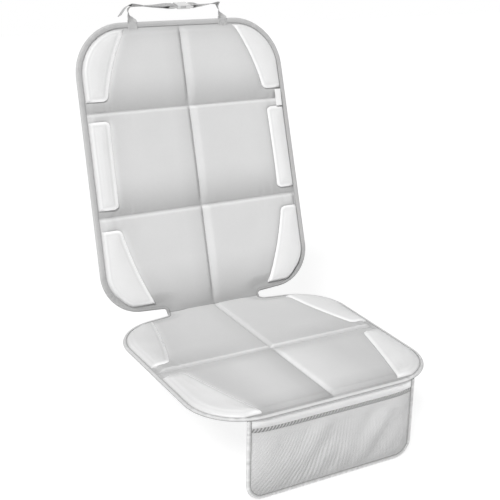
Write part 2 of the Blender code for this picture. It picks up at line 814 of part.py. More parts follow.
def make_straps(webbing):
    """The two halves of the headrest strap; each wraps a bar of the buckle."""
    across, front, width, face, centre = strap_frame()
    lift = BUCKLE_BAR_THICKNESS / 2 + GAP + STRAP_THICKNESS / 2
    spacing = STRAP_THICKNESS + GAP
    run = BACK_LENGTH + STRAP_RISE
    half_turned = width - front * 0.5

    def at_buckle(along, height):
        return centre + across * along + face * height

    # The left half runs under two bars of the plug, up the inner slot and back on top.
    keys = riser_keys(-1.0, across, front) + [
        (at_buckle(PLUG_END - 0.040, 0.0), half_turned),
        (at_buckle(PLUG_END - 0.014, -lift * 0.5), width),
        (at_buckle(PLUG_END - 0.004, -lift), width),
        (at_buckle(PLUG_END + BAR_LENGTH, -lift), width),
        (at_buckle(PLUG_SLOT - STRAP_OVER, -lift), width),
    ]
    returning = [
        (at_buckle(PLUG_SLOT - STRAP_OVER, lift), width),
        (at_buckle(PLUG_END + BAR_LENGTH, lift), width),
        (at_buckle(PLUG_END - 0.004, lift), width),
        (at_buckle(PLUG_END - 0.016, lift * 0.4 + spacing * 0.6), width),
        (at_buckle(PLUG_END - 0.040, spacing * 1.3), half_turned),
        (bend(-STRAP_SPREAD + STRAP_TURN, run + spacing * 1.3, 0.0), -front),
        (bend(-STRAP_SPREAD, run + spacing, 0.0), -front),
        (bend(-STRAP_SPREAD - TAIL_REACH * 0.4, run - TAIL_DROP * 0.2, 0.0), -front),
        (bend(-STRAP_SPREAD - TAIL_REACH, run - TAIL_DROP, 0.0), -front),
    ]
    turned = bow(centre, across, face, width, PLUG_SLOT, lift, -1.0)
    ribbon("strap_left", smooth_path(keys, 4) + turned + smooth_path(returning, 4), webbing)

    # The right half goes down through the socket's slot and is sewn back under itself.
    keys = riser_keys(1.0, across, front) + [
        (at_buckle(SOCKET_END + 0.026, 0.0), half_turned),
        (at_buckle(SOCKET_END + 0.012, lift * 0.6), width),
        (at_buckle(SOCKET_END + 0.004, lift), width),
        (at_buckle(SOCKET_SLOT + STRAP_OVER, lift), width),
    ]
    returning = [
        (at_buckle(SOCKET_SLOT + STRAP_OVER, -lift), width),
        (at_buckle(SOCKET_END + 0.004, -lift), width),
        (at_buckle(SOCKET_END + 0.012, lift * 0.6 - spacing * 1.8), width),
        (at_buckle(SOCKET_END + SEWN_RETURN, -spacing), half_turned),
    ]
    turned = bow(centre, across, face, width, SOCKET_SLOT, lift, 1.0)
    ribbon("strap_right", smooth_path(keys, 4) + turned + smooth_path(returning, 4), webbing)


def block(name, low, high):
    """A plain closed box between two corners."""
    mesh = bpy.data.meshes.new(name)
    work = bmesh.new()
    bmesh.ops.create_cube(work, size=1.0)
    size = Vector(high) - Vector(low)
    middle = (Vector(high) + Vector(low)) / 2
    bmesh.ops.scale(work, vec=size, verts=work.verts)
    bmesh.ops.translate(work, vec=middle, verts=work.verts)
    work.to_mesh(mesh)
    work.free()
    made = bpy.data.objects.new(name, mesh)
    bpy.context.collection.objects.link(made)
    return made


def apply_shape(target, tools):
    """Joins or cuts the tools into the target, then removes them."""
    for tool, operation in tools:
        change = target.modifiers.new(operation.lower(), "BOOLEAN")
        change.operation = operation
        change.object = tool
    scene_graph = bpy.context.evaluated_depsgraph_get()
    mesh = bpy.data.meshes.new_from_object(target.evaluated_get(scene_graph))
    target.modifiers.clear()
    target.data = mesh
    for tool, _ in tools:
        bpy.data.objects.remove(tool, do_unlink=True)


def soften(target, width, material, place):
    """Rounds the target's edges, gives it its finish and puts it in its place."""
    bevel = target.modifiers.new("edges", "BEVEL")
    bevel.width = width
    bevel.segments = 2
    bevel.limit_method = "ANGLE"
    bevel.angle_limit = math.radians(60.0)
    target.data.shade_smooth()
    target.data.set_sharp_from_angle(angle=SHARP_ANGLE)
    target.data.materials.clear()
    target.data.materials.append(material)
    target.matrix_world = place


def make_buckle(plastic, dark_plastic):
    """A side-release buckle: a socket and a two-pronged plug with a webbing slide."""
    across, _, width, face, centre = strap_frame()
    place = Matrix((
        (across.x, width.x, face.x, centre.x),
        (across.y, width.y, face.y, centre.y),
        (across.z, width.z, face.z, centre.z),
        (0.0, 0.0, 0.0, 1.0),
    ))
    half = SOCKET_HALF
    wide = BUCKLE_WIDTH / 2
    thick = SOCKET_THICKNESS / 2
    bar = BUCKLE_BAR_THICKNESS / 2
    slot_half = STRAP_WIDTH / 2 + 0.0012

    socket = block("buckle_socket", (-half, -wide, -thick), (half, wide, thick))
    frame = block("socket_frame", (half - 0.002, -wide, -bar), (SOCKET_END, wide, bar))
    slot = block(
        "socket_slot",
        (half - SLOT_RECESS, -slot_half, -bar - SLOT_RECESS),
        (half + SLOT_LENGTH, slot_half, bar + SLOT_RECESS),
    )
    hollow = block(
        "socket_hollow",
        (-half - 0.001, -wide + SHELL_WALL, -thick + SHELL_WALL),
        (half - SHELL_WALL, wide - SHELL_WALL, thick - SHELL_WALL),
    )
    windows = block(
        "socket_windows",
        (-half + WINDOW_START, -wide - 0.001, -PRONG_THICKNESS / 2 - GAP),
        (-half + WINDOW_START + WINDOW_LENGTH, wide + 0.001, PRONG_THICKNESS / 2 + GAP),
    )
    apply_shape(socket, (
        (frame, "UNION"), (slot, "DIFFERENCE"), (hollow, "DIFFERENCE"), (windows, "DIFFERENCE"),
    ))
    soften(socket, 0.0007, plastic, place)

    inner = wide - SHELL_WALL - GAP
    shoulder = -half - GAP
    plug = block("buckle_plug", (PLUG_END, -wide, -bar), (shoulder, wide, bar))
    tools = []
    first_slot = PLUG_SLOT - SLOT_LENGTH / 2
    for number in range(2):
        start = first_slot - number * (SLOT_LENGTH + BAR_LENGTH)
        far = start + SLOT_LENGTH
        cutter = block("plug_slot", (start, -slot_half, -thick), (far, slot_half, thick))
        tools.append((cutter, "DIFFERENCE"))
    tip = shoulder + PRONG_RUN
    prong = PRONG_THICKNESS / 2
    for side in (-1.0, 1.0):
        low, high = sorted((side * inner, side * (inner - PRONG_WIDTH)))
        tools.append((block("prong", (shoulder - 0.002, low, -prong), (tip, high, prong)), "UNION"))
        low, high = sorted((side * (inner - 0.001), side * (wide - 0.0002)))
        catch_start = -half + WINDOW_START + GAP
        tools.append((block("catch", (catch_start, low, -prong), (tip - 0.003, high, prong)), "UNION"))
    apply_shape(plug, tools)
    soften(plug, 0.0004, dark_plastic, place)


def main():
    clear_scene()
    cloth = finish("quilted_cloth", (0.66, 0.66, 0.66), 0.85)
    foam = finish("foam", (0.85, 0.84, 0.80), 0.95)
    rubberised = finish("non_slip_backing", (0.30, 0.30, 0.31), 0.90)
    leather = finish("patch_leather_cloth", (0.86, 0.86, 0.86), 0.55)
    tape = finish("binding_tape", (0.50, 0.50, 0.50), 0.80)
    woven = finish("woven_tag", (0.90, 0.90, 0.90), 0.80)
    net = finish("pocket_mesh", (0.72, 0.72, 0.72), 0.80)
    elastic = finish("elastic_hem", (0.42, 0.42, 0.42), 0.85)
    webbing = finish("strap_webbing", (0.52, 0.52, 0.52), 0.80)
    plastic = finish("buckle_plastic", (0.74, 0.74, 0.74), 0.35)
    dark_plastic = finish("plug_plastic", (0.55, 0.55, 0.55), 0.35)

    side = mat_side(for_quilting=True)
    outline = mat_side(for_quilting=False)
    make_panels(side, outline, cloth, foam, rubberised)
    make_edge_tape(outline, tape)
    make_patches(side, leather)
    make_tag(side, woven)
    make_pocket(cloth, net, elastic, tape)
    make_straps(webbing)
    make_buckle(plastic, dark_plastic)


main()
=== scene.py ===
"""Looks of the padded car seat protector mat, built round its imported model.

The mat is cut and sewn flat, then bent at the fold between its seat and its back. A flat
place on it is (across, along): across to the right, along from the fold, positive up the
back. bend() turns flat places and a height above the underside into metres in the frame.
"""

import math

import bmesh
import bpy
import numpy as np
from mathutils import Matrix, Vector, geometry, noise


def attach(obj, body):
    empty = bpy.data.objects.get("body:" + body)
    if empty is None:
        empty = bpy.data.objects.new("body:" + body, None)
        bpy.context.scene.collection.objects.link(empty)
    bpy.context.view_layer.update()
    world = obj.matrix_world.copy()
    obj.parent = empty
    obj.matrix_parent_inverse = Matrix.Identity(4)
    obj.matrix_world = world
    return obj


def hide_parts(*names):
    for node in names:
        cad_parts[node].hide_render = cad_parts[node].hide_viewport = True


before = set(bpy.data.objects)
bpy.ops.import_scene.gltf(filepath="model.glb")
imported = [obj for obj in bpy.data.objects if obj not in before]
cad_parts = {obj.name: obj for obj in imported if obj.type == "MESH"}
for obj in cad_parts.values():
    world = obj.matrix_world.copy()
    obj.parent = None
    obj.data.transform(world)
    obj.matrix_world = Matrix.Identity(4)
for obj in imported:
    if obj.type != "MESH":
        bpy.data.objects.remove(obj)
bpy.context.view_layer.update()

# The flat mat, in metres, as the solids have it
BACK_LENGTH = 0.601
SEAT_LENGTH = 0.474
BACK_TOP_WIDTH = 0.464
BACK_LOW_WIDTH = 0.484
SEAT_REAR_WIDTH = 0.500
SEAT_FRONT_WIDTH = 0.481
NECK_WIDTH = 0.216
TOP_CORNER = 0.107
LOW_CORNER = 0.082
SHOULDER_CORNER = 0.108
FRONT_CORNER = 0.106
NOTCH_CORNER = 0.007
NOTCH_SEAT_CORNER = 0.013
NOTCH_ABOVE = 0.0120
NOTCH_BELOW = 0.0140
BACK_EDGE_RISE = 0.009
SHOULDER_FALL = 0.022
RECLINE = math.radians(16.4)
FOLD_RADIUS = 0.016
GAP = 0.0003
COVER_THICKNESS = 0.0010
FACE_ON_RIM = 0.0035
TAPE_THICKNESS = 0.0009
TAPE_WIDTH = 0.012
TAPE_STACK = TAPE_THICKNESS + GAP
TAPE_TOP = FACE_ON_RIM + TAPE_STACK
RAMP_WIDTH = 0.019
UPPER_SEAM = 0.4245
LOWER_SEAM = 0.2145
SEAT_SEAM = 0.2475
FOLD_TURN = math.pi / 2 - RECLINE
FOLD_ARC = FOLD_RADIUS * FOLD_TURN
FOLD_TANGENT = FOLD_RADIUS * math.tan(FOLD_TURN / 2)
FOLD_Y = SEAT_LENGTH / 2

# Side patches: (lower end, upper end, insets from the mat's side, rounded ends)
PATCH_REACH = TAPE_WIDTH + 0.0015
LOW_SHARE = 1.0 - 0.107 / ((BACK_LOW_WIDTH - NECK_WIDTH) / 2)
REAR_SHARE = 1.0 - 0.092 / ((SEAT_REAR_WIDTH - NECK_WIDTH) / 2)
PATCHES = {
    "upper": (UPPER_SEAM + 0.022, BACK_LENGTH - PATCH_REACH, (0.0565, 0.075, 0.108), (True, False)),
    "middle": (LOWER_SEAM + 0.015, UPPER_SEAM - 0.018, (0.053, 0.053, 0.054), (True, True)),
    "lower": (
        NOTCH_ABOVE + PATCH_REACH + BACK_EDGE_RISE * LOW_SHARE, LOWER_SEAM - 0.027,
        (0.107, 0.074, 0.052), (False, True),
    ),
    "rear": (
        -SEAT_SEAM + 0.0245, -NOTCH_BELOW - PATCH_REACH - SHOULDER_FALL * REAR_SHARE,
        (0.043, 0.0715, 0.092), (True, False),
    ),
    "front": (-SEAT_LENGTH + PATCH_REACH, -SEAT_SEAM - 0.024, (0.100, 0.0725, 0.0485), (False, True)),
}
PATCH_FLOOR = FACE_ON_RIM + GAP
PATCH_EDGE = 0.0014
# (height of the lip at the rim, height of the top, width of the bevel)
BACK_PATCH = (0.0074, 0.0090, 0.006)
SEAT_PATCH = (0.0046, 0.0084, 0.011)
PATCH_CROWN = 0.0018
PATCH_ROLL = 0.026
PATCH_UNEVEN = 0.0006
GROOVE_INSET = 0.0078
GROOVE_WIDTH = 0.0014
GROOVE_DEPTH = 0.0006
# Painted highlights: across the front patches, and a stronger one on the left patches' rims
PAINTED_HIGHLIGHT_OF_FRONT = {"left": 0.75, "right": 0.40}
PAINTED_HIGHLIGHT_OF_LEFT_RIMS = 1.5
PATCH_CORNER = 0.009

# How the padding swells between its seams. A roll is how far it takes to rise.
BACK_CROWN = 0.0108
SEAT_CROWN = 0.0068
# (level of a seam, roll on its upper side, roll on its lower side)
SEAMS = (
    (UPPER_SEAM, 0.058, 0.006), (LOWER_SEAM, 0.058, 0.006),
    (0.0, 0.050, 0.012), (-SEAT_SEAM, 0.0036, 0.040),
)
# (level of a seam, how much painted shade darkens the face above it, how far up)
PAINTED_SHADE_ABOVE_SEAMS = ((UPPER_SEAM, 0.25, 0.085), (LOWER_SEAM, 0.30, 0.085), (0.0, 0.40, 0.110))
ROLL_RIGHT_OF_CENTRE = 0.018
SEAT_ROLL_RIGHT_OF_CENTRE = 0.008
ROLL_LEFT_OF_CENTRE = 0.010
ROLL_AT_PATCH = 0.012
ROLL_AT_EDGE = 0.014
ROLL_AT_FRONT = 0.006
EXTRA_ROLL_AT_NECK = 0.020
SHARE_AT_PATCH = 0.72
BACK_TAPE = 0.0104
NECK_TAPE = 0.0050
SEAT_TAPE = 0.0050
TAPE_INSET = 0.0018
COVER_INSET = 0.002
COVER_FROM_FOLD = 0.0015
COVER_STEP = 0.0032
PATCH_STEP = 0.0026
UNEVEN_PADDING = 0.0009
SEAM_GATHER = 0.0024
CENTRE_GATHER = 0.0014

# Binding of the mat: (metres out, or a share of the tape's width where below -0.01; height above
# the underside; tone on the back; tone on the seat), over the face, round the edge, back below
BINDING_TOP = FACE_ON_RIM + GAP
# Its tones are painted light and shade: highlights over the tape's top and round, shade at its inner edge
# and under its round, lighter on the seat than on the back
BINDING_PROFILE = (
    (-1.00, BINDING_TOP, 0.70, 0.56),
    (-0.98, BINDING_TOP + 0.0007, 0.78, 0.72),
    (-0.90, BINDING_TOP + 0.0010, 0.92, 1.20),
    (-0.75, BINDING_TOP + 0.0012, 0.98, 1.42),
    (-0.50, BINDING_TOP + 0.0014, 1.03, 1.46),
    (-0.25, BINDING_TOP + 0.0013, 1.08, 1.46),
    (-0.07, BINDING_TOP + 0.0007, 1.16, 1.46),
    (0.0007, BINDING_TOP - 0.0006, 1.22, 1.36),
    (0.0012, BINDING_TOP - 0.0019, 1.10, 1.06),
    (0.0007, 0.0007, 0.92, 0.44),
    (-0.07, 0.0002, 0.84, 0.50),
    (-0.50, 0.0000, 0.90, 0.90),
    (-0.98, 0.0002, 0.90, 0.90),
    (-1.00, 0.0009, 0.85, 0.85),
    (-0.50, 0.0009, 0.85, 0.85),
    (-0.0002, 0.0011, 0.85, 0.85),
    (-0.0002, BINDING_TOP - 0.0001, 0.85, 0.85),
    (-0.50, BINDING_TOP, 0.85, 0.85),
)
BINDING_RIPPLE = 0.0010

# Pocket
POCKET_WIDTH = 0.344
POCKET_DROP = 0.156
POCKET_CORNER = 0.033
POCKET_FRONT = -SEAT_LENGTH / 2 + 0.0045
POCKET_CLOTH = 0.0010
POCKET_TAPE = 0.007
NET_DROP = 0.0165
NET_BULGE = 0.012
NET_THICKNESS = 0.0005
NET_PITCH = 0.0036
NET_REAR = POCKET_CLOTH + GAP
NET_STEP = 0.0022
NET_FOLD = 0.0050
NET_PLEAT = 0.0008
POCKET_STEP = 0.004
REAR_STEP = 0.005
POCKET_SEAM = 0.001
HEM_SECTIONS = 420
HEM_STROKE = 0.0064
HEM_GATHER = 0.0004

# Binding of the pocket: (metres out, depth in front of the rear cloth's back, tone)
TAPE_ON_NET = NET_REAR + NET_THICKNESS + 0.0006
# Its tones are painted light and shade: highlights over the tape's top and round, shade at its inner edge
# and below
POCKET_PROFILE = (
    (-0.0070, TAPE_ON_NET, 0.60),
    (-0.0067, TAPE_ON_NET + 0.0006, 0.64),
    (-0.0052, TAPE_ON_NET + 0.0010, 0.98),
    (-0.0012, TAPE_ON_NET + 0.0008, 1.66),
    (0.0004, TAPE_ON_NET, 1.74),
    (0.0010, 0.0012, 1.50),
    (0.0004, -0.0004, 0.96),
    (-0.0012, -0.0009, 0.86),
    (-0.0068, -0.0008, 0.86),
    (-0.0070, -0.0003, 0.85),
    (-0.0004, -0.0002, 0.85),
    (-0.0004, TAPE_ON_NET - 0.0002, 0.85),
)
POCKET_RIPPLE = 0.0005

# Strap, buckle and tag
STRAP_WIDTH = 0.020
STRAP_THICKNESS = 0.0012
STRAP_SPREAD = 0.1025
STRAP_SEWN = 0.024
STRAP_RISE = 0.034
STRAP_SAG = 0.003
STRAP_TILT = math.radians(64.0)
STRAP_TURN = 0.009
STRAP_LEAVE = 0.001
STRAP_LEAN = 0.004
TAIL_DROP = 0.019
TAIL_REACH = 0.023
SEWN_RETURN = 0.022
BUCKLE_OFFSET = 0.015
SOCKET_HALF = 0.014
BAR_THICKNESS = 0.0040
BAR_LENGTH = 0.0035
SLOT_LENGTH = 0.0038
SOCKET_SLOT = SOCKET_HALF + SLOT_LENGTH / 2
SOCKET_END = SOCKET_HALF + SLOT_LENGTH + BAR_LENGTH
PLUG_SLOT = -SOCKET_HALF - BAR_LENGTH - SLOT_LENGTH / 2
PLUG_END = PLUG_SLOT - 1.5 * SLOT_LENGTH - 2 * BAR_LENGTH
STRAP_OVER = 0.55 * SLOT_LENGTH
STRAP_STEPS = 12
BOW_STEPS = 16
TAG_WIDTH = 0.019
TAG_LENGTH = 0.036
TAG_THICKNESS = 0.0007
TAG_STEP = 0.0016
TAG_CURL = 0.0004

# Sewing
STITCH = 0.0030
STITCH_PITCH = 0.0042
THREAD = 0.00028
THREAD_INSET = 0.0020
SEAM_CLEAR = 0.002
SEAM_FROM_FOLD = 0.012
SEAM_STEP = 0.004
BOX_HALF = 0.0075
BOX_STITCH = 0.0022
BOX_PITCH = 0.0030

# Rubber dots of the underside
DOT_PITCH = 0.014
DOT_RADIUS = 0.0021
DOT_HEIGHT = 0.0005


# Stage: the camera's azimuth, elevation and roll in degrees, and where it stands from the
# fold's middle, to its right, up and away
WHITE = (1.0, 1.0, 1.0, 1.0)
FLOOR_REACH = 6.0
CAMERA_ANGLES = (-28.8705, 19.4828, 0.8047)
CAMERA_PLACE = (0.0782, 0.1185, 2.0744)
CAMERA_SENSOR = 36.0
CAMERA_LENS = 69.9


# Flat shapes


def unit(value):
    """The value, kept between nought and one."""
    return np.clip(value, 0.0, 1.0)


def bell(distance, width):
    """One at no distance, and nearly nought from two widths on."""
    return np.exp(-((distance / width) ** 2))


def mirror(flat):
    """Flat places or directions on the other side of the centre line."""
    return flat * np.array([-1.0, 1.0])


def lengths_along(line):
    """How far along a line each of its points lies."""
    return np.concatenate([[0.0], np.cumsum(np.linalg.norm(np.diff(line, axis=0), axis=1))])


def ripple_along(line, size, *seed):
    """Smooth random values along a line, with ripples of about that size in metres."""
    return np.array([noise.noise(Vector((place / size, *seed))) for place in lengths_along(line)])


def ring_of(count):
    """Places round a circle of radius one."""
    return [(math.cos(turn), math.sin(turn)) for turn in np.linspace(0.0, 2 * math.pi, count + 1)[:-1]]


def bend(flat, height):
    """Places in metres for flat places (across, along) at heights above the underside."""
    flat = np.asarray(flat, float).reshape(-1, 2)
    along = flat[:, 1]
    turned = np.clip((along + FOLD_ARC / 2) / FOLD_RADIUS, 0.0, FOLD_TURN)
    on_back = np.maximum(along - FOLD_ARC / 2, 0.0)
    on_seat = np.minimum(along + FOLD_ARC / 2, 0.0)
    beyond = np.where(along > 0.0, on_back, on_seat)
    sine = np.sin(turned)
    cosine = np.cos(turned)
    y = FOLD_Y - FOLD_TANGENT + FOLD_RADIUS * sine + beyond * cosine - height * sine
    z = FOLD_RADIUS * (1.0 - cosine) + beyond * sine + height * cosine
    return np.stack([flat[:, 0], y, z], axis=1)


def rounded(corners, step=0.0030):
    """Points and outward normals along a line of corners, each with its own radius."""
    points = []
    normals = []
    for before, corner, after in zip(corners, corners[1:], corners[2:]):
        here = Vector(corner[:2])
        back = (Vector(before[:2]) - here).normalized()
        onward = (Vector(after[:2]) - here).normalized()
        radius = corner[2]
        half = back.angle(onward) / 2
        centre = here + (back + onward).normalized() * (radius / math.sin(half))
        first = here + back * (radius / math.tan(half)) - centre
        last = here + onward * (radius / math.tan(half)) - centre
        sign = 1.0 if back.cross(onward) > 0.0 else -1.0
        sweep = first.angle_signed(last)
        steps = max(6, math.ceil(abs(sweep) * radius / step))
        for number in range(steps + 1):
            spoke = first.copy()
            spoke.rotate(Matrix.Rotation(-sweep * number / steps, 2))
            points.append(centre + spoke)
            normals.append(spoke.normalized() * sign)
    return np.array(points), np.array(normals)


def filled(points, normals, step):
    """The same line with its long straight stretches cut into steps."""
    full = [points[0]]
    full_normals = [normals[0]]
    for number in range(1, len(points)):
        length = np.linalg.norm(points[number] - points[number - 1])
        count = max(1, int(round(length / step)))
        for part in range(1, count + 1):
            share = part / count
            normal = normals[number - 1] * (1.0 - share) + normals[number] * share
            full.append(points[number - 1] * (1.0 - share) + points[number] * share)
            full_normals.append(normal / np.linalg.norm(normal))
    return np.array(full), np.array(full_normals)


def mat_side():
    """The right side of the flat mat and its outward normals, from its top edge to its front edge."""
    corners = (
        (0.0, BACK_LENGTH, 0.0),
        (BACK_TOP_WIDTH / 2, BACK_LENGTH, TOP_CORNER),
        (BACK_LOW_WIDTH / 2, NOTCH_ABOVE + BACK_EDGE_RISE, LOW_CORNER),
        (NECK_WIDTH / 2, NOTCH_ABOVE, NOTCH_CORNER),
        (NECK_WIDTH / 2, -NOTCH_BELOW, NOTCH_SEAT_CORNER),
        (SEAT_REAR_WIDTH / 2, -NOTCH_BELOW - SHOULDER_FALL, SHOULDER_CORNER),
        (SEAT_FRONT_WIDTH / 2, -SEAT_LENGTH, FRONT_CORNER),
        (0.0, -SEAT_LENGTH, 0.0),
    )
    points, normals = rounded(corners)
    points = np.vstack([[0.0, BACK_LENGTH], points, [0.0, -SEAT_LENGTH]])
    normals = np.vstack([[0.0, 1.0], normals, [0.0, -1.0]])
    return filled(points, normals, 0.0035)


def side_width(along):
    """Half the mat's width at a level, with its corners left square."""
    if along >= 0.0:
        return (BACK_LOW_WIDTH + (BACK_TOP_WIDTH - BACK_LOW_WIDTH) * along / BACK_LENGTH) / 2
    return (SEAT_REAR_WIDTH + (SEAT_FRONT_WIDTH - SEAT_REAR_WIDTH) * -along / SEAT_LENGTH) / 2


def loop_of(side):
    """A closed line, or its normals, from a right side that starts and ends on the centre line."""
    return np.vstack([side, mirror(side[-2:0:-1])])


def nearest(places, line, closed=True):
    """Distance from each flat place to a line of points."""
    ends = np.roll(line, -1, axis=0) if closed else line[1:]
    starts = line if closed else line[:-1]
    best = np.full(len(places), 1e9)
    for start, end in zip(starts, ends):
        step = end - start
        length = step @ step
        if length < 1e-14:
            continue
        share = unit((places - start) @ step / length)
        gap = places - start - share[:, None] * step
        best = np.minimum(best, np.einsum("ij,ij->i", gap, gap))
    return np.sqrt(best)


def inside(places, loop):
    """Which flat places lie inside a closed line."""
    hits = np.zeros(len(places), bool)
    for start, end in zip(loop, np.roll(loop, -1, axis=0)):
        crosses = (start[1] > places[:, 1]) != (end[1] > places[:, 1])
        slope = (end[0] - start[0]) / ((end[1] - start[1]) or 1e-12)
        hits ^= crosses & (places[:, 0] < start[0] + (places[:, 1] - start[1]) * slope)
    return hits


def triangles(loop, creases, step):
    """Flat places and triangles that fill a closed line, with points along its creases."""
    low = loop.min(axis=0)
    high = loop.max(axis=0)
    rows = np.arange(low[1], high[1], step * math.sqrt(3) / 2)
    grid = []
    for number, level in enumerate(rows):
        columns = np.arange(low[0] + step / 2 * (number % 2), high[0], step)
        grid.append(np.stack([columns, np.full(len(columns), level)], axis=1))
    grid = np.vstack(grid)
    grid = grid[inside(grid, loop)]
    grid = grid[nearest(grid, loop) > step * 0.55]
    places = [loop]
    edges = [(number, (number + 1) % len(loop)) for number in range(len(loop))]
    count = len(loop)
    for crease in creases:
        grid = grid[nearest(grid, crease, closed=False) > step * 0.55]
        places.append(crease)
        edges += [(count + number, count + number + 1) for number in range(len(crease) - 1)]
        count += len(crease)
    places = np.vstack(places + [grid])
    made = geometry.delaunay_2d_cdt([Vector(place) for place in places], edges, [], 1, 1e-7)
    return np.array([tuple(place) for place in made[0]]), [tuple(face) for face in made[2]]


# Meshes


def piece(name, points, faces, material, attributes=None):
    """An object from points and faces that rides on the mat, with its finish."""
    mesh = bpy.data.meshes.new(name)
    mesh.from_pydata([tuple(point) for point in points], [], faces)
    mesh.validate()
    mesh.materials.append(material)
    for label, values in (attributes or {}).items():
        values = np.asarray(values, np.float32)
        if values.ndim == 1:
            mesh.attributes.new(label, "FLOAT", "POINT").data.foreach_set("value", values)
        else:
            mesh.attributes.new(label, "FLOAT_VECTOR", "POINT").data.foreach_set("vector", values.ravel())
    mesh.shade_smooth()
    made = bpy.data.objects.new(name, mesh)
    bpy.context.scene.collection.objects.link(made)
    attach(made, "root")
    return made


def sharpen(made, degrees):
    """Keeps the edges of a piece sharp where they turn more than this."""
    made.data.set_sharp_from_angle(angle=math.radians(degrees))


def sheet_solid(name, places, faces, top, under, put, material, attributes=None):
    """A closed thin solid over flat triangles, between two heights."""
    count = len(places)
    points = np.vstack([put(places, top), put(places, under)])
    ahead = put(places, top + 0.001)
    solid = []
    used = set()
    for face in faces:
        first, second, third = (points[number] for number in face[:3])
        turn = np.cross(second - first, third - first)
        if turn @ (ahead[face[0]] - first) < 0.0:
            face = face[::-1]
        solid.append(face)
        solid.append(tuple(number + count for number in face[::-1]))
        used.update(zip(face, face[1:] + face[:1]))
    for start, end in used:
        if (end, start) not in used:
            solid.append((end, start, start + count, end + count))
    flat = np.zeros((2 * count, 3))
    flat[:, :2] = np.vstack([places, places])
    doubled = {label: np.concatenate([values, values]) for label, values in (attributes or {}).items()}
    return piece(name, points, solid, material, {"flat": flat, **doubled})


def swept(name, sections, material, closed, attributes):
    """A solid through sections that all have the same number of points."""
    size = len(sections[0])
    count = len(sections)
    faces = []
    for number in range(count if closed else count - 1):
        here = number * size
        there = (number + 1) % count * size
        for corner in range(size):
            other = (corner + 1) % size
            faces.append((here + corner, there + corner, there + other, here + other))
    if not closed:
        faces.append(tuple(range(size)))
        faces.append(tuple(reversed(range((count - 1) * size, count * size))))
    return outwards(piece(name, np.vstack(sections), faces, material, attributes))


def outwards(made):
    """Turns the faces of a closed mesh outwards."""
    work = bmesh.new()
    work.from_mesh(made.data)
    bmesh.ops.recalc_face_normals(work, faces=work.faces)
    work.to_mesh(made.data)
    work.free()
    return made


def stitches(name, runs, material, length=STITCH, pitch=STITCH_PITCH):
    """Rows of small sewn stitches. A run is a line of points and their surface normals."""
    ring = ring_of(6)
    points = []
    faces = []
    for line, normals in runs:
        travelled = lengths_along(line)
        for start in np.arange(pitch / 2, travelled[-1] - length, pitch):
            ends = []
            for place in (start, start + length):
                ends.append([np.interp(place, travelled, line[:, axis]) for axis in range(3)])
            ends = np.array(ends)
            up = np.array([np.interp(start + length / 2, travelled, normals[:, axis]) for axis in range(3)])
            run = ends[1] - ends[0]
            run = run / np.linalg.norm(run)
            up = up - run * (up @ run)
            up = up / np.linalg.norm(up)
            side = np.cross(run, up)
            base = len(points)
            points.append(ends[0] - up * THREAD * 0.7)
            for share in (0.18, 0.5, 0.82):
                centre = ends[0] * (1.0 - share) + ends[1] * share
                lift = 0.35 if share == 0.5 else 0.1
                for across, rise in ring:
                    points.append(centre + side * across * THREAD * 1.25 + up * THREAD * (rise + lift))
            points.append(ends[1] - up * THREAD * 0.7)
            for corner in range(6):
                other = (corner + 1) % 6
                faces.append((base, base + 1 + other, base + 1 + corner))
                for band in (0, 6):
                    near = base + 1 + band
                    faces.append((near + corner, near + other, near + 6 + other, near + 6 + corner))
                faces.append((base + 13 + corner, base + 13 + other, base + 19))
    outwards(piece(name, points, faces, material))


# Finishes


class Nodes:
    """Makes the nodes of one material or node group and joins them."""

    def __init__(self, tree):
        self.tree = tree

    def add(self, kind, inputs=None, output=0, **settings):
        """A node with its settings and inputs; gives the wanted output socket."""
        node = self.tree.nodes.new(kind)
        for name, value in settings.items():
            setattr(node, name, value)
        for name, value in (inputs or {}).items():
            self.put(node.inputs[name], value)
        return node.outputs[output]

    def put(self, socket, value):
        """Links an output into a socket, or sets the socket's own value."""
        if isinstance(value, bpy.types.NodeSocket):
            self.tree.links.new(value, socket)
        else:
            socket.default_value = value

    def math(self, operation, *values):
        return self.add("ShaderNodeMath", dict(enumerate(values)), operation=operation)

    def times(self, *values):
        return self.math("MULTIPLY", *values)

    def linear(self, value, factor, start):
        """The value times a factor, plus a start."""
        return self.math("ADD", self.times(value, factor), start)

    def noise(self, place, scale, detail):
        return self.add("ShaderNodeTexNoise", {"Vector": place, "Scale": scale, "Detail": detail})

    def axes(self, place):
        node = self.tree.nodes.new("ShaderNodeSeparateXYZ")
        self.put(node.inputs[0], place)
        return node.outputs

    def flat_place(self):
        """Where the point lies in the flat cut."""
        return self.add("ShaderNodeAttribute", output="Vector", attribute_name="flat")

    def attribute(self, name):
        return self.add("ShaderNodeAttribute", output="Fac", attribute_name=name)

    def group(self, tree, output, **inputs):
        """A placed group; gives the output of that name, or a list for several names."""
        node = self.tree.nodes.new("ShaderNodeGroup")
        node.node_tree = tree
        for name, value in inputs.items():
            self.put(node.inputs[name.replace("_", " ")], value)
        if isinstance(output, tuple):
            return [node.outputs[name] for name in output]
        return node.outputs[output]


def new_group(name, inputs, outputs):
    """An empty shader group, its maker and its two ends. An input without a value is a place."""
    tree = bpy.data.node_groups.new(name, "ShaderNodeTree")
    for label, value in inputs.items():
        kind = "NodeSocketVector" if value is None else "NodeSocketFloat"
        socket = tree.interface.new_socket(label, in_out="INPUT", socket_type=kind)
        if value is not None:
            socket.default_value = value
    for label in outputs:
        tree.interface.new_socket(label, in_out="OUTPUT", socket_type="NodeSocketFloat")
    start = tree.nodes.new("NodeGroupInput")
    end = tree.nodes.new("NodeGroupOutput")
    return tree, Nodes(tree), start.outputs, end.inputs


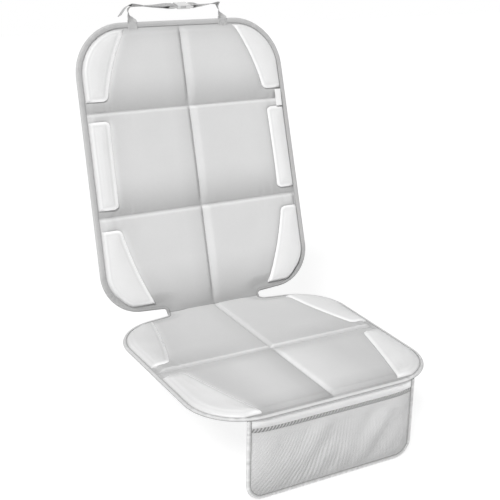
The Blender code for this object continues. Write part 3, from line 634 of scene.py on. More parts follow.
def weave_group():
    """Threads that go over and under each other, at a pitch in metres each way."""
    tree, make, given, wanted = new_group(
        "plain weave",
        {"Place": None, "Pitch Across": 0.001, "Pitch Along": 0.001, "Unevenness": 0.2},
        ("Height", "Shade"),
    )
    axes = make.axes(given["Place"])
    threads = []
    for axis, pitch in ((0, "Pitch Across"), (1, "Pitch Along")):
        turns = make.math("DIVIDE", axes[axis], given[pitch])
        threads.append(make.math("SINE", make.times(turns, math.pi)))
    over = make.linear(make.times(make.times(*threads), 1.6), 0.5, 0.5)
    first = make.times(make.times(threads[0], threads[0]), over)
    under = make.math("SUBTRACT", 1.0, over)
    second = make.times(make.times(threads[1], threads[1]), under)
    height = make.math("ADD", first, second)
    speck = make.noise(given["Place"], 900.0, 2.0)
    speck = make.times(make.math("SUBTRACT", speck, 0.5), given["Unevenness"])
    make.put(wanted["Height"], make.math("ADD", height, speck))
    make.put(wanted["Shade"], make.linear(height, 0.10, 0.93))
    return tree


def tone_group():
    """Slow changes of tone, as of cloth that took its dye or was handled unevenly."""
    tree, make, given, wanted = new_group(
        "uneven tone", {"Place": None, "Size": 8.0, "Amount": 0.05}, ("Tone",),
    )
    large = make.noise(given["Place"], given["Size"], 3.0)
    fine = make.noise(given["Place"], make.times(given["Size"], 14.0), 2.0)
    both = make.math("ADD", make.times(large, 0.7), make.times(fine, 0.3))
    change = make.times(make.math("SUBTRACT", both, 0.5), given["Amount"])
    make.put(wanted["Tone"], make.math("ADD", change, 1.0))
    return tree


def grain_group():
    """Small cells with creases between them, as on leather cloth or moulded plastic."""
    tree, make, given, wanted = new_group(
        "pebbled grain", {"Place": None, "Cells": 700.0, "Crease": 0.25}, ("Height", "Worn"),
    )
    warp = make.add("ShaderNodeTexNoise", {"Vector": given["Place"], "Scale": 260.0}, output=1)
    moved = make.add(
        "ShaderNodeMixRGB", {"Fac": 0.0012, "Color1": given["Place"], "Color2": warp}, blend_type="ADD",
    )
    cell = make.add(
        "ShaderNodeTexVoronoi", {"Vector": moved, "Scale": given["Cells"]}, feature="DISTANCE_TO_EDGE",
    )
    edge = make.math("MINIMUM", make.math("DIVIDE", cell, given["Crease"]), 1.0)
    make.put(wanted["Height"], edge)
    make.put(wanted["Worn"], make.times(edge, make.noise(given["Place"], 55.0, 4.0)))
    return tree


WEAVE = weave_group()
TONE = tone_group()
GRAIN = grain_group()


def finish(name, roughness, **constants):
    """A material, its node maker and its shader, with plain values on the shader's own sockets."""
    material = bpy.data.materials.new(name)
    material.use_nodes = True
    shader = material.node_tree.nodes["Principled BSDF"]
    shader.inputs["Roughness"].default_value = roughness
    for label, value in constants.items():
        shader.inputs[label.replace("_", " ")].default_value = value
    return material, Nodes(material.node_tree), shader


def grey(make, level, *shades):
    """A grey of a level, times each of the shades, as a colour."""
    value = level
    for shade in shades:
        value = make.times(value, shade)
    return make.add("ShaderNodeCombineColor", {0: value, 1: value, 2: value})


def bump(make, shader, height, depth, strength=1.0):
    """Raises the shader's surface by a height map of that depth in metres."""
    node = {"Height": height, "Distance": depth, "Strength": strength}
    make.put(shader.inputs["Normal"], make.add("ShaderNodeBump", node))


def cloth_finish(
    name, level, pitch, depth, shaded_by=None,
    roughness=0.85, sheen=(0.12, 0.45), uneven=0.35, tone=(11.0, 0.10),
):
    """Woven cloth whose threads follow the flat cut, shaded by an attribute of its mesh."""
    material, make, shader = finish(name, roughness, Sheen_Weight=sheen[0], Sheen_Roughness=sheen[1])
    place = make.flat_place()
    height, shade = make.group(
        WEAVE, ("Height", "Shade"),
        Place=place, Pitch_Across=pitch[0], Pitch_Along=pitch[1], Unevenness=uneven,
    )
    shades = [shade, make.group(TONE, "Tone", Place=place, Size=tone[0], Amount=tone[1])]
    if shaded_by:
        shades.append(make.attribute(shaded_by))
    make.put(shader.inputs["Base Color"], grey(make, level, *shades))
    bump(make, shader, height, depth)
    return material


def grained_finish(name, level, grain, tone, rough, depth, strength=1.0, **constants):
    """Moulded or coated stuff with a grain of cells and creases, rougher where it is worn."""
    material, make, shader = finish(name, rough[0], **constants)
    place = make.add("ShaderNodeTexCoord", output="Object")
    height, worn = make.group(GRAIN, ("Height", "Worn"), Place=place, Cells=grain[0], Crease=grain[1])
    shade = make.group(TONE, "Tone", Place=place, Size=tone[0], Amount=tone[1])
    make.put(shader.inputs["Base Color"], grey(make, level, shade))
    make.put(shader.inputs["Roughness"], make.linear(worn, rough[1], rough[0]))
    bump(make, shader, height, depth, strength)
    return material


def plastic_finish(name, level):
    """Glossy moulded plastic with a faint grain."""
    return grained_finish(
        name, level, (1500.0, 0.4), (60.0, 0.06), (0.22, 0.15), 0.00003, 0.5,
        Coat_Weight=0.25, Coat_Roughness=0.12, IOR=1.49,
    )


def backing_finish(name, level):
    """Coated non-slip fabric."""
    return grained_finish(name, level, (420.0, 0.3), (9.0, 0.16), (0.6, 0.25), 0.00010)


def leather_finish(name, level):
    """Smooth pale leather cloth with a fine grain, lighter along its rim attribute, which also carries
    painted highlights and painted shade in its groove.
    """
    material, make, shader = finish(name, 0.5, Coat_Weight=0.08, Coat_Roughness=0.4)
    place = make.flat_place()
    height, worn = make.group(GRAIN, ("Height", "Worn"), Place=place, Cells=620.0, Crease=0.22)
    tone = make.group(TONE, "Tone", Place=place, Size=16.0, Amount=0.07)
    shade = make.linear(height, 0.03, 0.97)
    lighter = make.linear(make.attribute("rim"), 0.20, 1.0)
    make.put(shader.inputs["Base Color"], grey(make, level, shade, tone, lighter))
    make.put(shader.inputs["Roughness"], make.linear(worn, 0.20, 0.38))
    bump(make, shader, height, 0.00012, 0.7)
    return material


def net_finish(name, level):
    """Knitted net: fine diagonal yarns with open holes between them."""
    material, make, shader = finish(name, 0.75, Sheen_Weight=0.15)
    place = make.flat_place()
    axes = make.axes(place)
    yarns = []
    for slant in (0.75, -0.75):
        turned = make.math("ADD", axes[0], make.times(axes[1], slant))
        wave = make.math("SINE", make.times(turned, 2 * math.pi / NET_PITCH))
        yarns.append(make.math("ABSOLUTE", wave))
    hole = make.times(*yarns)
    opened = make.add("ShaderNodeMapRange", {"Value": hole, "From Min": 0.34, "From Max": 0.52})
    solid = make.math("MAXIMUM", make.math("SUBTRACT", 1.0, opened), 0.0)
    tone = make.group(TONE, "Tone", Place=place, Size=22.0, Amount=0.16)
    shade = make.math("SUBTRACT", 1.06, make.times(hole, 0.22))
    # The edge attribute carries painted light and shade along the net's pleats, and darkens the net towards
    # the bottom
    make.put(shader.inputs["Base Color"], grey(make, level, shade, tone, make.attribute("edge")))
    make.put(shader.inputs["Alpha"], solid)
    bump(make, shader, make.math("SUBTRACT", 1.0, hole), 0.00030)
    return material


# The face cloth's crease attribute darkens its sewn lines and carries painted light and shade; the tape's
# edge attribute carries painted light and shade
FACE_CLOTH = cloth_finish("face cloth", 0.69, (0.0016, 0.0016), 0.00022, "crease")
POCKET_CLOTH_FINISH = cloth_finish("pocket cloth", 0.93, (0.0012, 0.0012), 0.00015)
TAG_CLOTH = cloth_finish("woven tag", 0.86, (0.0006, 0.0009), 0.00008, roughness=0.6)
HEM_CLOTH = cloth_finish("elastic hem", 0.34, (0.0010, 0.0022), 0.00035, "crease")
LEATHER = leather_finish("patch leather cloth", 0.77)
TAPE = cloth_finish(
    "binding tape", 0.47, (0.0009, 0.0016), 0.00022, "edge",
    roughness=0.8, sheen=(0.10, 0.5), uneven=0.3, tone=(24.0, 0.12),
)
WEBBING = cloth_finish(
    "strap webbing", 0.54, (0.0014, 0.0011), 0.00030,
    roughness=0.75, sheen=(0.10, 0.5), uneven=0.3, tone=(30.0, 0.10),
)
NET = net_finish("pocket net", 0.80)
SOCKET_PLASTIC = plastic_finish("buckle plastic", 0.72)
PLUG_PLASTIC = plastic_finish("plug plastic", 0.52)
BACKING = backing_finish("non-slip backing", 0.26)
GRIP = backing_finish("grip dots", 0.16)
FOAM = backing_finish("foam", 0.80)
THREAD_PALE = cloth_finish("pale thread", 0.62, (0.0004, 0.0004), 0.00004)
THREAD_DARK = cloth_finish("dark thread", 0.30, (0.0004, 0.0004), 0.00004)


# Quilted faces


def curve_through(low, middle, high, share):
    """The value at a share of the way along a smooth curve through three values."""
    near = low * (1.0 - share) * (1.0 - 2.0 * share)
    far = high * share * (2.0 * share - 1.0)
    return near + middle * 4.0 * share * (1.0 - share) + far


def read_line(line, level):
    """The across value of a line of points where it passes a level."""
    for start, end in zip(line, line[1:]):
        low, high = sorted((start[1], end[1]))
        if low <= level <= high and high > low:
            return start[0] + (end[0] - start[0]) * (level - start[1]) / (end[1] - start[1])
    return line[np.argmin(np.abs(line[:, 1] - level))][0]


def patch_loop(name, tape_edge):
    """The closed outline of a right-hand patch, as flat places."""
    low, high, insets, rounds = PATCHES[name]
    inner = []
    outer = []
    for level in np.linspace(low, high, 61):
        edge = side_width(level) - curve_through(*insets, (level - low) / (high - low))
        for distance, is_round in ((level - low, rounds[0]), (high - level, rounds[1])):
            if is_round and distance < PATCH_CORNER:
                rest = PATCH_CORNER - distance
                edge += PATCH_CORNER - math.sqrt(PATCH_CORNER ** 2 - rest ** 2)
        inner.append((edge, level))
        outer.append((max(read_line(tape_edge, level), edge + 0.002), level))
    ends = []
    for start, end in ((inner[-1], outer[-1]), (outer[0], inner[0])):
        count = max(1, int(abs(end[0] - start[0]) / PATCH_STEP))
        ends.append([(start[0] + (end[0] - start[0]) * k / count, start[1]) for k in range(1, count)])
    return np.array(inner + ends[0] + outer[::-1] + ends[1])


def tape_width(along):
    """How wide the binding shows on the face: less on the seat, and least at the neck."""
    seat = unit((-along - 0.02) / 0.03)
    back = unit((along - 0.016) / 0.02)
    return NECK_TAPE + (SEAT_TAPE - NECK_TAPE) * seat + (BACK_TAPE - NECK_TAPE) * back


SIDE, SIDE_NORMALS = mat_side()
OUTLINE = loop_of(SIDE)
TAPE_EDGE = SIDE - SIDE_NORMALS * (tape_width(SIDE[:, 1]) + TAPE_INSET)[:, None]
PATCH_LOOPS = {name: patch_loop(name, TAPE_EDGE) for name in PATCHES}


def swell(distance, width):
    """Share of the full crown at a distance from a seam, for a roll of that width."""
    share = unit(distance / width)
    return 1.0 - (1.0 - share) ** 2


def waves(places, size, seed, stretch=(1.0, 1.0)):
    """Smooth random values for flat places, with bumps of about that size in metres."""
    found = np.empty(len(places))
    for number, (across, along) in enumerate(places):
        found[number] = noise.noise(Vector((across / size * stretch[0], along / size * stretch[1], seed)))
    return found


def painted_shade_and_light_of_fields(places, to_patch):
    """Painted light and shade on each field: painted shade where it falls away to a seam or a side, painted
    highlights right of the seat's centre seam.
    """
    across, along = places[:, 0], places[:, 1]
    aside = np.abs(across)
    tone = np.ones(len(places))
    # Painted shade above each seam, under the top binding and beside the patches
    for level, depth, reach in PAINTED_SHADE_ABOVE_SEAMS:
        away = along - level
        tone *= 1.0 - depth * np.where(away > 0.0, unit(1.0 - away / reach) ** 1.4, 0.0)
    top = unit(1.0 - (BACK_LENGTH - TAPE_WIDTH - along) / 0.045)
    tone *= 1.0 - 0.10 * top ** 1.5
    tone *= 1.0 - 0.06 * unit(1.0 - np.maximum(to_patch, 0.0) / 0.055) ** 1.5

    # Painted shade on both sides of the seat's cross seam
    ahead = unit(1.0 - (-SEAT_SEAM - along) / 0.060) * (along < -SEAT_SEAM)
    tone *= 1.0 - 0.06 * ahead * np.exp(-aside / 0.13)
    behind = unit(1.0 - (along + SEAT_SEAM) / 0.060) * (along > -SEAT_SEAM)
    tone *= 1.0 - 0.16 * behind * np.clip(aside / 0.12, 0.3, 1.0)

    # Painted shade left of the centre seam, and painted highlights right of it and across the left front
    # field; more so on the seat's front fields
    left = unit(1.0 + across / 0.045) * (across < 0.0)
    right = unit(1.0 - across / 0.110) * (across > 0.0)
    on_front = unit((-SEAT_SEAM - along) / 0.04)
    tone *= 1.0 - (0.11 + 0.07 * on_front) * left
    tone *= 1.0 + 0.25 * on_front * right
    tone *= 1.0 + 0.10 * on_front * bell(across + 0.085, 0.04)

    # Painted shade towards the seat's front edge
    from_front = along + SEAT_LENGTH - SEAT_TAPE
    tone *= 1.0 - 0.16 * unit(1.0 - from_front / 0.055)
    tone *= 1.0 - 0.17 * bell(from_front - 0.009, 0.009)
    return tone


def face_shape(places):
    """Height of the quilted face over each flat place, and its tone there, with painted light and shade."""
    across = np.abs(places[:, 0])
    to_edge = nearest(places, OUTLINE)
    mirrored = np.stack([across, places[:, 1]], axis=1)
    to_patch = np.full(len(places), 1e9)
    for loop in PATCH_LOOPS.values():
        gap = nearest(mirrored, loop)
        to_patch = np.minimum(to_patch, np.where(inside(mirrored, loop), -gap, gap))
    to_seam = np.full(len(places), 1e9)
    share = np.ones(len(places))
    for level, roll_above, roll_below in SEAMS:
        away = places[:, 1] - level
        to_seam = np.minimum(to_seam, np.abs(away))
        share *= np.where(away > 0.0, swell(away, roll_above), swell(-away, roll_below))
    right = np.where(places[:, 1] > 0.0, ROLL_RIGHT_OF_CENTRE, SEAT_ROLL_RIGHT_OF_CENTRE)
    roll = np.where(places[:, 0] > 0.0, right, ROLL_LEFT_OF_CENTRE)
    share *= swell(across, roll)
    beside = SHARE_AT_PATCH + (1.0 - SHARE_AT_PATCH) * swell(to_patch, ROLL_AT_PATCH)
    share *= np.where(to_patch > 0.0, beside, SHARE_AT_PATCH * unit(1.0 + to_patch / 0.003))
    to_front = unit((places[:, 1] + SEAT_LENGTH) / 0.05 - 0.2)
    near_neck = unit(1.4 - np.abs(places[:, 1]) / 0.05)
    edge_roll = ROLL_AT_FRONT + (ROLL_AT_EDGE - ROLL_AT_FRONT) * to_front + EXTRA_ROLL_AT_NECK * near_neck
    share *= swell(to_edge - RAMP_WIDTH + 0.006, edge_roll)
    towards_fold = 0.5 + 0.5 * unit(places[:, 1] / 0.10)
    crown = np.where(places[:, 1] > 0.0, BACK_CROWN * towards_fold, SEAT_CROWN)
    height = FACE_ON_RIM + crown * share

    # Soft unevenness of the padding, and small gathers along the sewn lines
    height += UNEVEN_PADDING * share * waves(places, 0.075, 3.0)
    near_seam = np.exp(-to_seam / 0.012) * unit(to_seam / 0.003)
    near_seam *= unit((np.abs(places[:, 1]) - 0.03) / 0.03)
    ends = 0.35 + 0.65 * unit((across - 0.10) / 0.08)
    free = unit(to_patch / 0.006) * unit((to_edge - TAPE_WIDTH) / 0.006)
    height += SEAM_GATHER * near_seam * ends * free * waves(places, 0.010, 11.0, (1.0, 0.25))
    near_centre = np.exp(-across / 0.008) * unit(across / 0.003)
    height += CENTRE_GATHER * near_centre * free * waves(places, 0.011, 23.0, (0.25, 1.0))

    # Dark sewn lines at the seams and round the patches, painted highlights just behind the seat's cross
    # seam and just below the back's seams, and painted shade over the fields and along the binding
    tone = 1.0 - 0.20 * bell(to_seam, 0.0016)
    tone *= painted_shade_and_light_of_fields(places, to_patch)
    # Painted highlight just behind the seat's cross seam
    behind = unit(1.0 - np.abs(places[:, 1] + SEAT_SEAM - 0.0030) / 0.0022)
    tone *= 1.0 + 0.24 * behind
    # Painted highlights just below the back's two seams
    for level in (UPPER_SEAM, LOWER_SEAM):
        tone *= 1.0 + 0.13 * unit(1.0 - np.abs(places[:, 1] - level + 0.0042) / 0.0040)
    tone *= 1.0 - 0.16 * bell(across, 0.0014)
    tone *= 1.0 - 0.12 * bell(to_patch, 0.0016)
    # Painted shade along the binding
    tone *= 1.0 - 0.10 * np.exp(-unit(to_edge - TAPE_WIDTH) / 0.010)
    return height, tone


def crease_line(start, end, step=COVER_STEP):
    """Flat places along a straight line, about a step apart."""
    count = max(2, int(math.dist(start, end) / step))
    shares = np.linspace(0.0, 1.0, count)[:, None]
    return np.array(start) * (1.0 - shares) + np.array(end) * shares


def quilted_face(name, panel):
    """The padded face cloth of the back or of the seat."""
    sign = 1.0 if panel == "back" else -1.0
    cut = SIDE - SIDE_NORMALS * COVER_INSET
    neck = read_line(cut, 0.0)
    fold = GAP / 2 * sign
    side = cut[cut[:, 1] * sign > COVER_FROM_FOLD]
    if panel == "back":
        side = side[::-1]
    half = np.vstack([crease_line((0.0, fold), (neck, fold)), side[:-1], [0.0, side[-1][1]]])
    creases = []
    for level in (UPPER_SEAM, LOWER_SEAM) if panel == "back" else (-SEAT_SEAM,):
        reach = read_line(SIDE, level) - TAPE_WIDTH / 2
        creases.append(crease_line((-reach, level), (-COVER_STEP, level)))
        creases.append(crease_line((COVER_STEP, level), (reach, level)))
    places, faces = triangles(loop_of(half), creases, COVER_STEP)
    # The crease attribute carries the dark sewn lines together with painted light and shade
    height, crease = face_shape(places)
    made = sheet_solid(
        name, places, faces, height, height - COVER_THICKNESS, bend, FACE_CLOTH,
        {"crease": crease},
    )
    sharpen(made, 50.0)
    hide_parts(panel + "_cover")


def leather_pad(name, hand):
    """One raised leather-cloth patch, bevelled all round and softly crowned."""
    loop = PATCH_LOOPS[name]
    places, faces = triangles(loop, [], PATCH_STEP)
    to_rim = nearest(places, loop)
    on_seat = name in ("rear", "front")
    inner_lip, top, bevel = SEAT_PATCH if on_seat else BACK_PATCH
    to_tape = nearest(places, TAPE_EDGE, closed=False)
    at_tape = unit(1.6 - to_tape / 0.010) if on_seat else 0.0
    rise = np.sin(unit(to_rim / (bevel + 0.010 * at_tape)) * math.pi / 2)
    lip = PATCH_EDGE + (inner_lip - PATCH_EDGE) * np.sin(unit(to_tape / 0.016) * math.pi / 2)
    height = PATCH_FLOOR + lip + (top - lip) * rise
    height += PATCH_CROWN * swell(to_rim - bevel, PATCH_ROLL)
    seed = 5.0 + len(name) + (7.0 if hand == "left" else 0.0)
    height += PATCH_UNEVEN * rise * waves(places, 0.030, seed)
    groove = bell(to_rim - GROOVE_INSET, GROOVE_WIDTH)
    height -= GROOVE_DEPTH * groove

    # The rim is lighter, painted shade darkens its groove, the front patches carry a painted highlight
    # where they face the light, and the left rims a stronger painted highlight
    clear = unit((to_tape - 0.003) / 0.006)
    rim = bell(to_rim - 0.0012, 0.0032) * clear
    rim -= 0.22 * groove
    if name == "front":
        rim += PAINTED_HIGHLIGHT_OF_FRONT[hand] * bell(to_tape - 0.050, 0.030) * clear
    if hand == "left":
        rim *= PAINTED_HIGHLIGHT_OF_LEFT_RIMS
        places = mirror(places)
    made = sheet_solid(
        "pad_%s_%s" % (name, hand), places, faces, height, PATCH_FLOOR, bend,
        LEATHER, {"rim": rim},
    )
    sharpen(made, 60.0)
    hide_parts("patch_%s_%s" % (name, hand))


def tape_round(name, node, line, normals, profile, top, lifts, tones, put, widths=None):
    """Binding tape along a line; its profile above the top is lifted by its own ripple."""
    travelled = lengths_along(line)
    heights = np.array([row[1] for row in profile])
    sections = []
    flat = []
    for number, place in enumerate(line):
        outs = np.array([row[0] * widths[number] if row[0] < -0.01 else row[0] for row in profile])
        lift = np.where(heights > top, lifts[number], 0.0)
        sections.append(put(place + normals[number] * outs[:, None], heights + lift))
        flat += [(travelled[number], out - height, 0.0) for out, height in zip(outs, heights)]
    attributes = {"flat": np.array(flat), "edge": np.ravel(tones)}
    made = swept(name, sections, TAPE, widths is not None, attributes)
    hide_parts(node)


def edge_tape():
    """The tape folded round the whole outline, with slight gathers in its corners."""
    normals = loop_of(SIDE_NORMALS)
    turn = np.linalg.norm(np.roll(normals, -1, axis=0) - np.roll(normals, 1, axis=0), axis=1)
    gather = np.convolve(np.concatenate([turn[-6:], turn, turn[:6]]), np.ones(13) / 13, "valid")
    gather = np.clip(gather / 0.05, 0.15, 1.0)
    ripple = ripple_along(OUTLINE, 0.010, 4.0, 0.0) * gather
    along = OUTLINE[:, 1]
    # Tone along the tape: lighter where its ripples lift it, as painted light; painted shade towards the
    # fold and deepest at it; and per panel the profile's painted light and shade
    shade = 1.06 + 0.10 * ripple
    shade *= 1.0 - 0.20 * np.maximum(0.0, 1.0 - np.abs(along - 0.05) / 0.07)
    shade *= 1.0 - 0.45 * bell(along, 0.013)
    on_seat = unit(0.5 - along / 0.03)[:, None]
    back_tone, seat_tone = (np.array([row[column] for row in BINDING_PROFILE]) for column in (2, 3))
    tones = shade[:, None] * (back_tone * (1.0 - on_seat) + seat_tone * on_seat)
    tape_round(
        "edge_tape", "edge_binding", OUTLINE, normals, BINDING_PROFILE, BINDING_TOP,
        BINDING_RIPPLE * ripple, tones, bend, tape_width(along),
    )


def up_normals(flat_line):
    """Directions straight out of the flat mat at a line of flat places."""
    return bend(flat_line, 1.0) - bend(flat_line, 0.0)


def face_run(start, end):
    """A run of stitches on the quilted face between two flat places."""
    line = crease_line(start, end, SEAM_STEP)
    return bend(line, face_shape(line)[0] + 0.0001), up_normals(line)


def sew_mat():
    """The stitched lines of the binding and of the seams."""
    row = OUTLINE - loop_of(SIDE_NORMALS) * (tape_width(OUTLINE[:, 1]) - THREAD_INSET)[:, None]
    row = np.vstack([row, row[:1]])
    top = bend(row, TAPE_TOP + 0.00015)
    under = bend(row, 0.0)
    stitches("binding_stitches", [(top, up_normals(row))], THREAD_PALE)
    stitches("binding_stitches_below", [(under, -up_normals(row))], THREAD_PALE)
    runs = []
    for level in (UPPER_SEAM, LOWER_SEAM, -SEAT_SEAM):
        reach = read_line(SIDE, level) - TAPE_WIDTH - SEAM_CLEAR
        runs.append(face_run((-reach, level), (reach, level)))
    runs.append(face_run((0.0, SEAM_FROM_FOLD), (0.0, BACK_LENGTH - TAPE_WIDTH - SEAM_CLEAR)))
    runs.append(face_run((0.0, -SEAM_FROM_FOLD), (0.0, -SEAT_LENGTH + TAPE_WIDTH + SEAM_CLEAR)))
    stitches("seam_stitches", runs, THREAD_PALE)


# Underside


def grip_dots():
    """Low rubber dots on the backing, in staggered rows."""
    ring = np.array(ring_of(8))
    dots = []
    for number, level in enumerate(np.arange(-SEAT_LENGTH, BACK_LENGTH, DOT_PITCH * math.sqrt(3) / 2)):
        if abs(level) >= FOLD_ARC:
            start = -0.25 + DOT_PITCH / 2 * (number % 2)
            dots += [(across, level) for across in np.arange(start, 0.25, DOT_PITCH)]
    dots = np.array(dots)
    dots = dots[inside(dots, OUTLINE)]
    dots = dots[nearest(dots, OUTLINE) > RAMP_WIDTH + DOT_RADIUS]
    points = []
    faces = []
    for dot in dots:
        base = len(points)
        for share, drop in ((1.0, 0.0), (0.92, -0.6 * DOT_HEIGHT), (0.6, -DOT_HEIGHT)):
            points.extend(bend(dot + ring * DOT_RADIUS * share, drop))
        for near in (base, base + 8):
            for corner in range(8):
                other = (corner + 1) % 8
                faces.append((near + corner, near + other, near + 8 + other, near + 8 + corner))
        faces.append(tuple(base + 16 + corner for corner in range(8)))
        faces.append(tuple(base + corner for corner in reversed(range(8))))
    sharpen(outwards(piece("grip_dots", points, faces, GRIP)), 50.0)


# Pocket


def pocket_put(flat, depth):
    """Places in metres for pocket places (across, height) at depths in front of its rear."""
    flat = np.asarray(flat, float).reshape(-1, 2)
    y = np.full(len(flat), POCKET_FRONT) - depth
    return np.stack([flat[:, 0], y, flat[:, 1]], axis=1)


def pocket_side(top, step=POCKET_STEP):
    """The right side of the pocket and its outward normals, from a level down to its bottom."""
    corners = (
        (POCKET_WIDTH / 2, top, 0.0),
        (POCKET_WIDTH / 2, -POCKET_DROP, POCKET_CORNER),
        (0.0, -POCKET_DROP, 0.0),
    )
    points, normals = rounded(corners)
    points = np.vstack([[POCKET_WIDTH / 2, top], points, [0.0, -POCKET_DROP]])
    normals = np.vstack([[1.0, 0.0], normals, [0.0, -1.0]])
    return filled(points, normals, step)


def pocket_loop(top, step=POCKET_STEP):
    """The closed outline of a pocket piece whose top edge is straight."""
    side, normals = pocket_side(top, step)
    side = side - normals * POCKET_SEAM
    side[0][1] = top
    edge = crease_line((0.0, top), side[0], step)[:-1]
    half = np.vstack([edge, side])
    half[-1][0] = 0.0
    return loop_of(half)


def pleats(places):
    """Small pleats of the net, which fan out from the left and fade to the right."""
    across, along = places[:, 0], places[:, 1]
    lean = unit((0.02 - across) / 0.19)
    drop = unit((-NET_DROP - along) / (POCKET_DROP - NET_DROP))
    turns = (across - (along + NET_DROP) * (0.10 + 0.42 * lean)) / (0.0056 + 0.0016 * drop)
    uneven = waves(places, 0.020, 41.0, (1.0, 0.4))
    fade = 0.25 + 0.75 * unit((0.06 - across) / 0.14)
    return np.sin(2 * math.pi * turns + 2.4 * uneven) * fade * (0.45 + 0.55 * drop)


def net_shape(places):
    """How far the slack net stands out, with its sag, soft folds and pleats."""
    reach = POCKET_WIDTH / 2 - POCKET_TAPE
    across, along = places[:, 0], places[:, 1]
    sideways = unit(1.0 - (across / reach) ** 8)
    height = unit((along + POCKET_DROP - POCKET_TAPE) / (POCKET_DROP - NET_DROP))
    stand = NET_BULGE * sideways * (0.62 * np.sin(height * math.pi / 2) + 0.38 * np.sin(height * math.pi))
    free = sideways ** 0.5 * unit(height / 0.12)
    slack = unit((-NET_DROP - 0.006 - along) / 0.02)
    slanted = np.stack([across * 0.86 - along * 0.5, along * 0.86 + across * 0.5], axis=1)
    folds = waves(slanted, 0.034, 2.0, (1.0, 0.33)) * NET_FOLD
    return np.maximum(stand + free * slack * (folds + NET_PLEAT * pleats(places)), 0.0)


def net_hem():
    """The elastic hem round the net's upper edge, with its slanting woven strokes."""
    reach = POCKET_WIDTH / 2 - POCKET_TAPE - GAP
    shares = np.linspace(0.0, 1.0, 9)
    sections = []
    flat = []
    crease = []
    for number in range(HEM_SECTIONS + 1):
        across = reach * (2.0 * number / HEM_SECTIONS - 1.0)
        gather = noise.noise(Vector((across / 0.006, 0.0, 7.0)))
        inner = NET_REAR + float(net_shape(np.array([[across, -NET_DROP]]))[0])
        outer = inner + NET_THICKNESS + 0.0011 + HEM_GATHER * gather
        inner -= 0.0003
        section = [(outer - 0.0007, -0.0062)]
        for share in shares:
            section.append((outer + 0.0003 * math.sin(share * math.pi), -0.0056 + 0.0060 * share))
        section += [
            (outer - 0.0006, 0.0010), (inner, 0.0010), (inner, 0.0003),
            (outer - 0.0008, 0.0003), (outer - 0.0008, -0.0062),
        ]
        depths = np.array([depth for depth, _ in section])
        levels = np.array([level - NET_DROP for _, level in section])
        sections.append(pocket_put([(across, level) for level in levels], depths))
        flat += [(across, level + depth, 0.0) for depth, level in zip(depths, levels)]
        turns = (across - 0.8 * levels) / HEM_STROKE + 0.16 * gather
        crease += list(1.10 + 0.62 * np.sin(2 * math.pi * turns))
    attributes = {"flat": np.array(flat), "crease": np.array(crease)}
    hem = swept("net_hem", sections, HEM_CLOTH, False, attributes)
    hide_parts("pocket_hem")
    return hem


def sewn_pocket():
    """Rear cloth, slack net, elastic hem, and the tape round the pocket."""
    places, faces = triangles(pocket_loop(-GAP), [], REAR_STEP)
    cloth = sheet_solid(
        "pocket_rear_cloth", places, faces, POCKET_CLOTH, 0.0, pocket_put,
        POCKET_CLOTH_FINISH,
    )
    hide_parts("pocket_back")

    places, faces = triangles(pocket_loop(-NET_DROP, NET_STEP), [], NET_STEP)
    stand = NET_REAR + net_shape(places)
    # The net's edge attribute: painted light and shade along its pleats, and darker towards the bottom
    low = unit((-places[:, 1] - 0.085) / 0.060)
    edge = (1.0 + 0.11 * pleats(places)) * (1.0 - 0.20 * low)
    net = sheet_solid(
        "pocket_slack_net", places, faces, stand + NET_THICKNESS, stand, pocket_put, NET,
        {"edge": edge},
    )
    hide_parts("pocket_net")
    net_hem()

    side, normals = pocket_side(-GAP)
    line = np.vstack([side, mirror(side[-2::-1])])
    outward = np.vstack([normals, mirror(normals[-2::-1])])
    ripple = ripple_along(line, 0.009, 0.0, 31.0)
    rough = ripple_along(line, 0.0035, 5.0, 0.0)
    # Random unevenness of tone, times the profile's painted light and shade
    tones = (1.0 + 0.35 * rough)[:, None] * np.array([row[2] for row in POCKET_PROFILE])
    tape_round(
        "pocket_tape", "pocket_binding", line, outward, POCKET_PROFILE, TAPE_ON_NET,
        POCKET_RIPPLE * ripple, tones, pocket_put,
    )
    sewn = pocket_put(line - outward * 0.0052, TAPE_ON_NET + 0.0010)
    forwards = np.tile([0.0, -1.0, 0.0], (len(line), 1))
    stitches("pocket_stitches", [(sewn, forwards)], THREAD_PALE)


# Strap, buckle and tag


def smooth_path(keys):
    """A smooth line through key places; each also carries its width direction."""
    path = []
    last = len(keys) - 1
    for number in range(last):
        near = keys[number]
        far = keys[number + 1]
        before = keys[max(number - 1, 0)]
        after = keys[min(number + 2, last)]
        for step in range(STRAP_STEPS):
            share = step / STRAP_STEPS
            cube = share ** 3
            square = share ** 2
            blended = []
            for part in (0, 1):
                leave = (far[part] - before[part]) / 2
                arrive = (after[part] - near[part]) / 2
                blended.append(
                    near[part] * (2 * cube - 3 * square + 1) + leave * (cube - 2 * square + share)
                    + far[part] * (3 * square - 2 * cube) + arrive * (cube - square)
                )
            path.append((blended[0], blended[1].normalized()))
    path.append((keys[-1][0], keys[-1][1].normalized()))
    return path


def bent(across, along, height):
    """One flat place and height as a vector in metres."""
    return Vector(bend([(across, along)], height)[0])


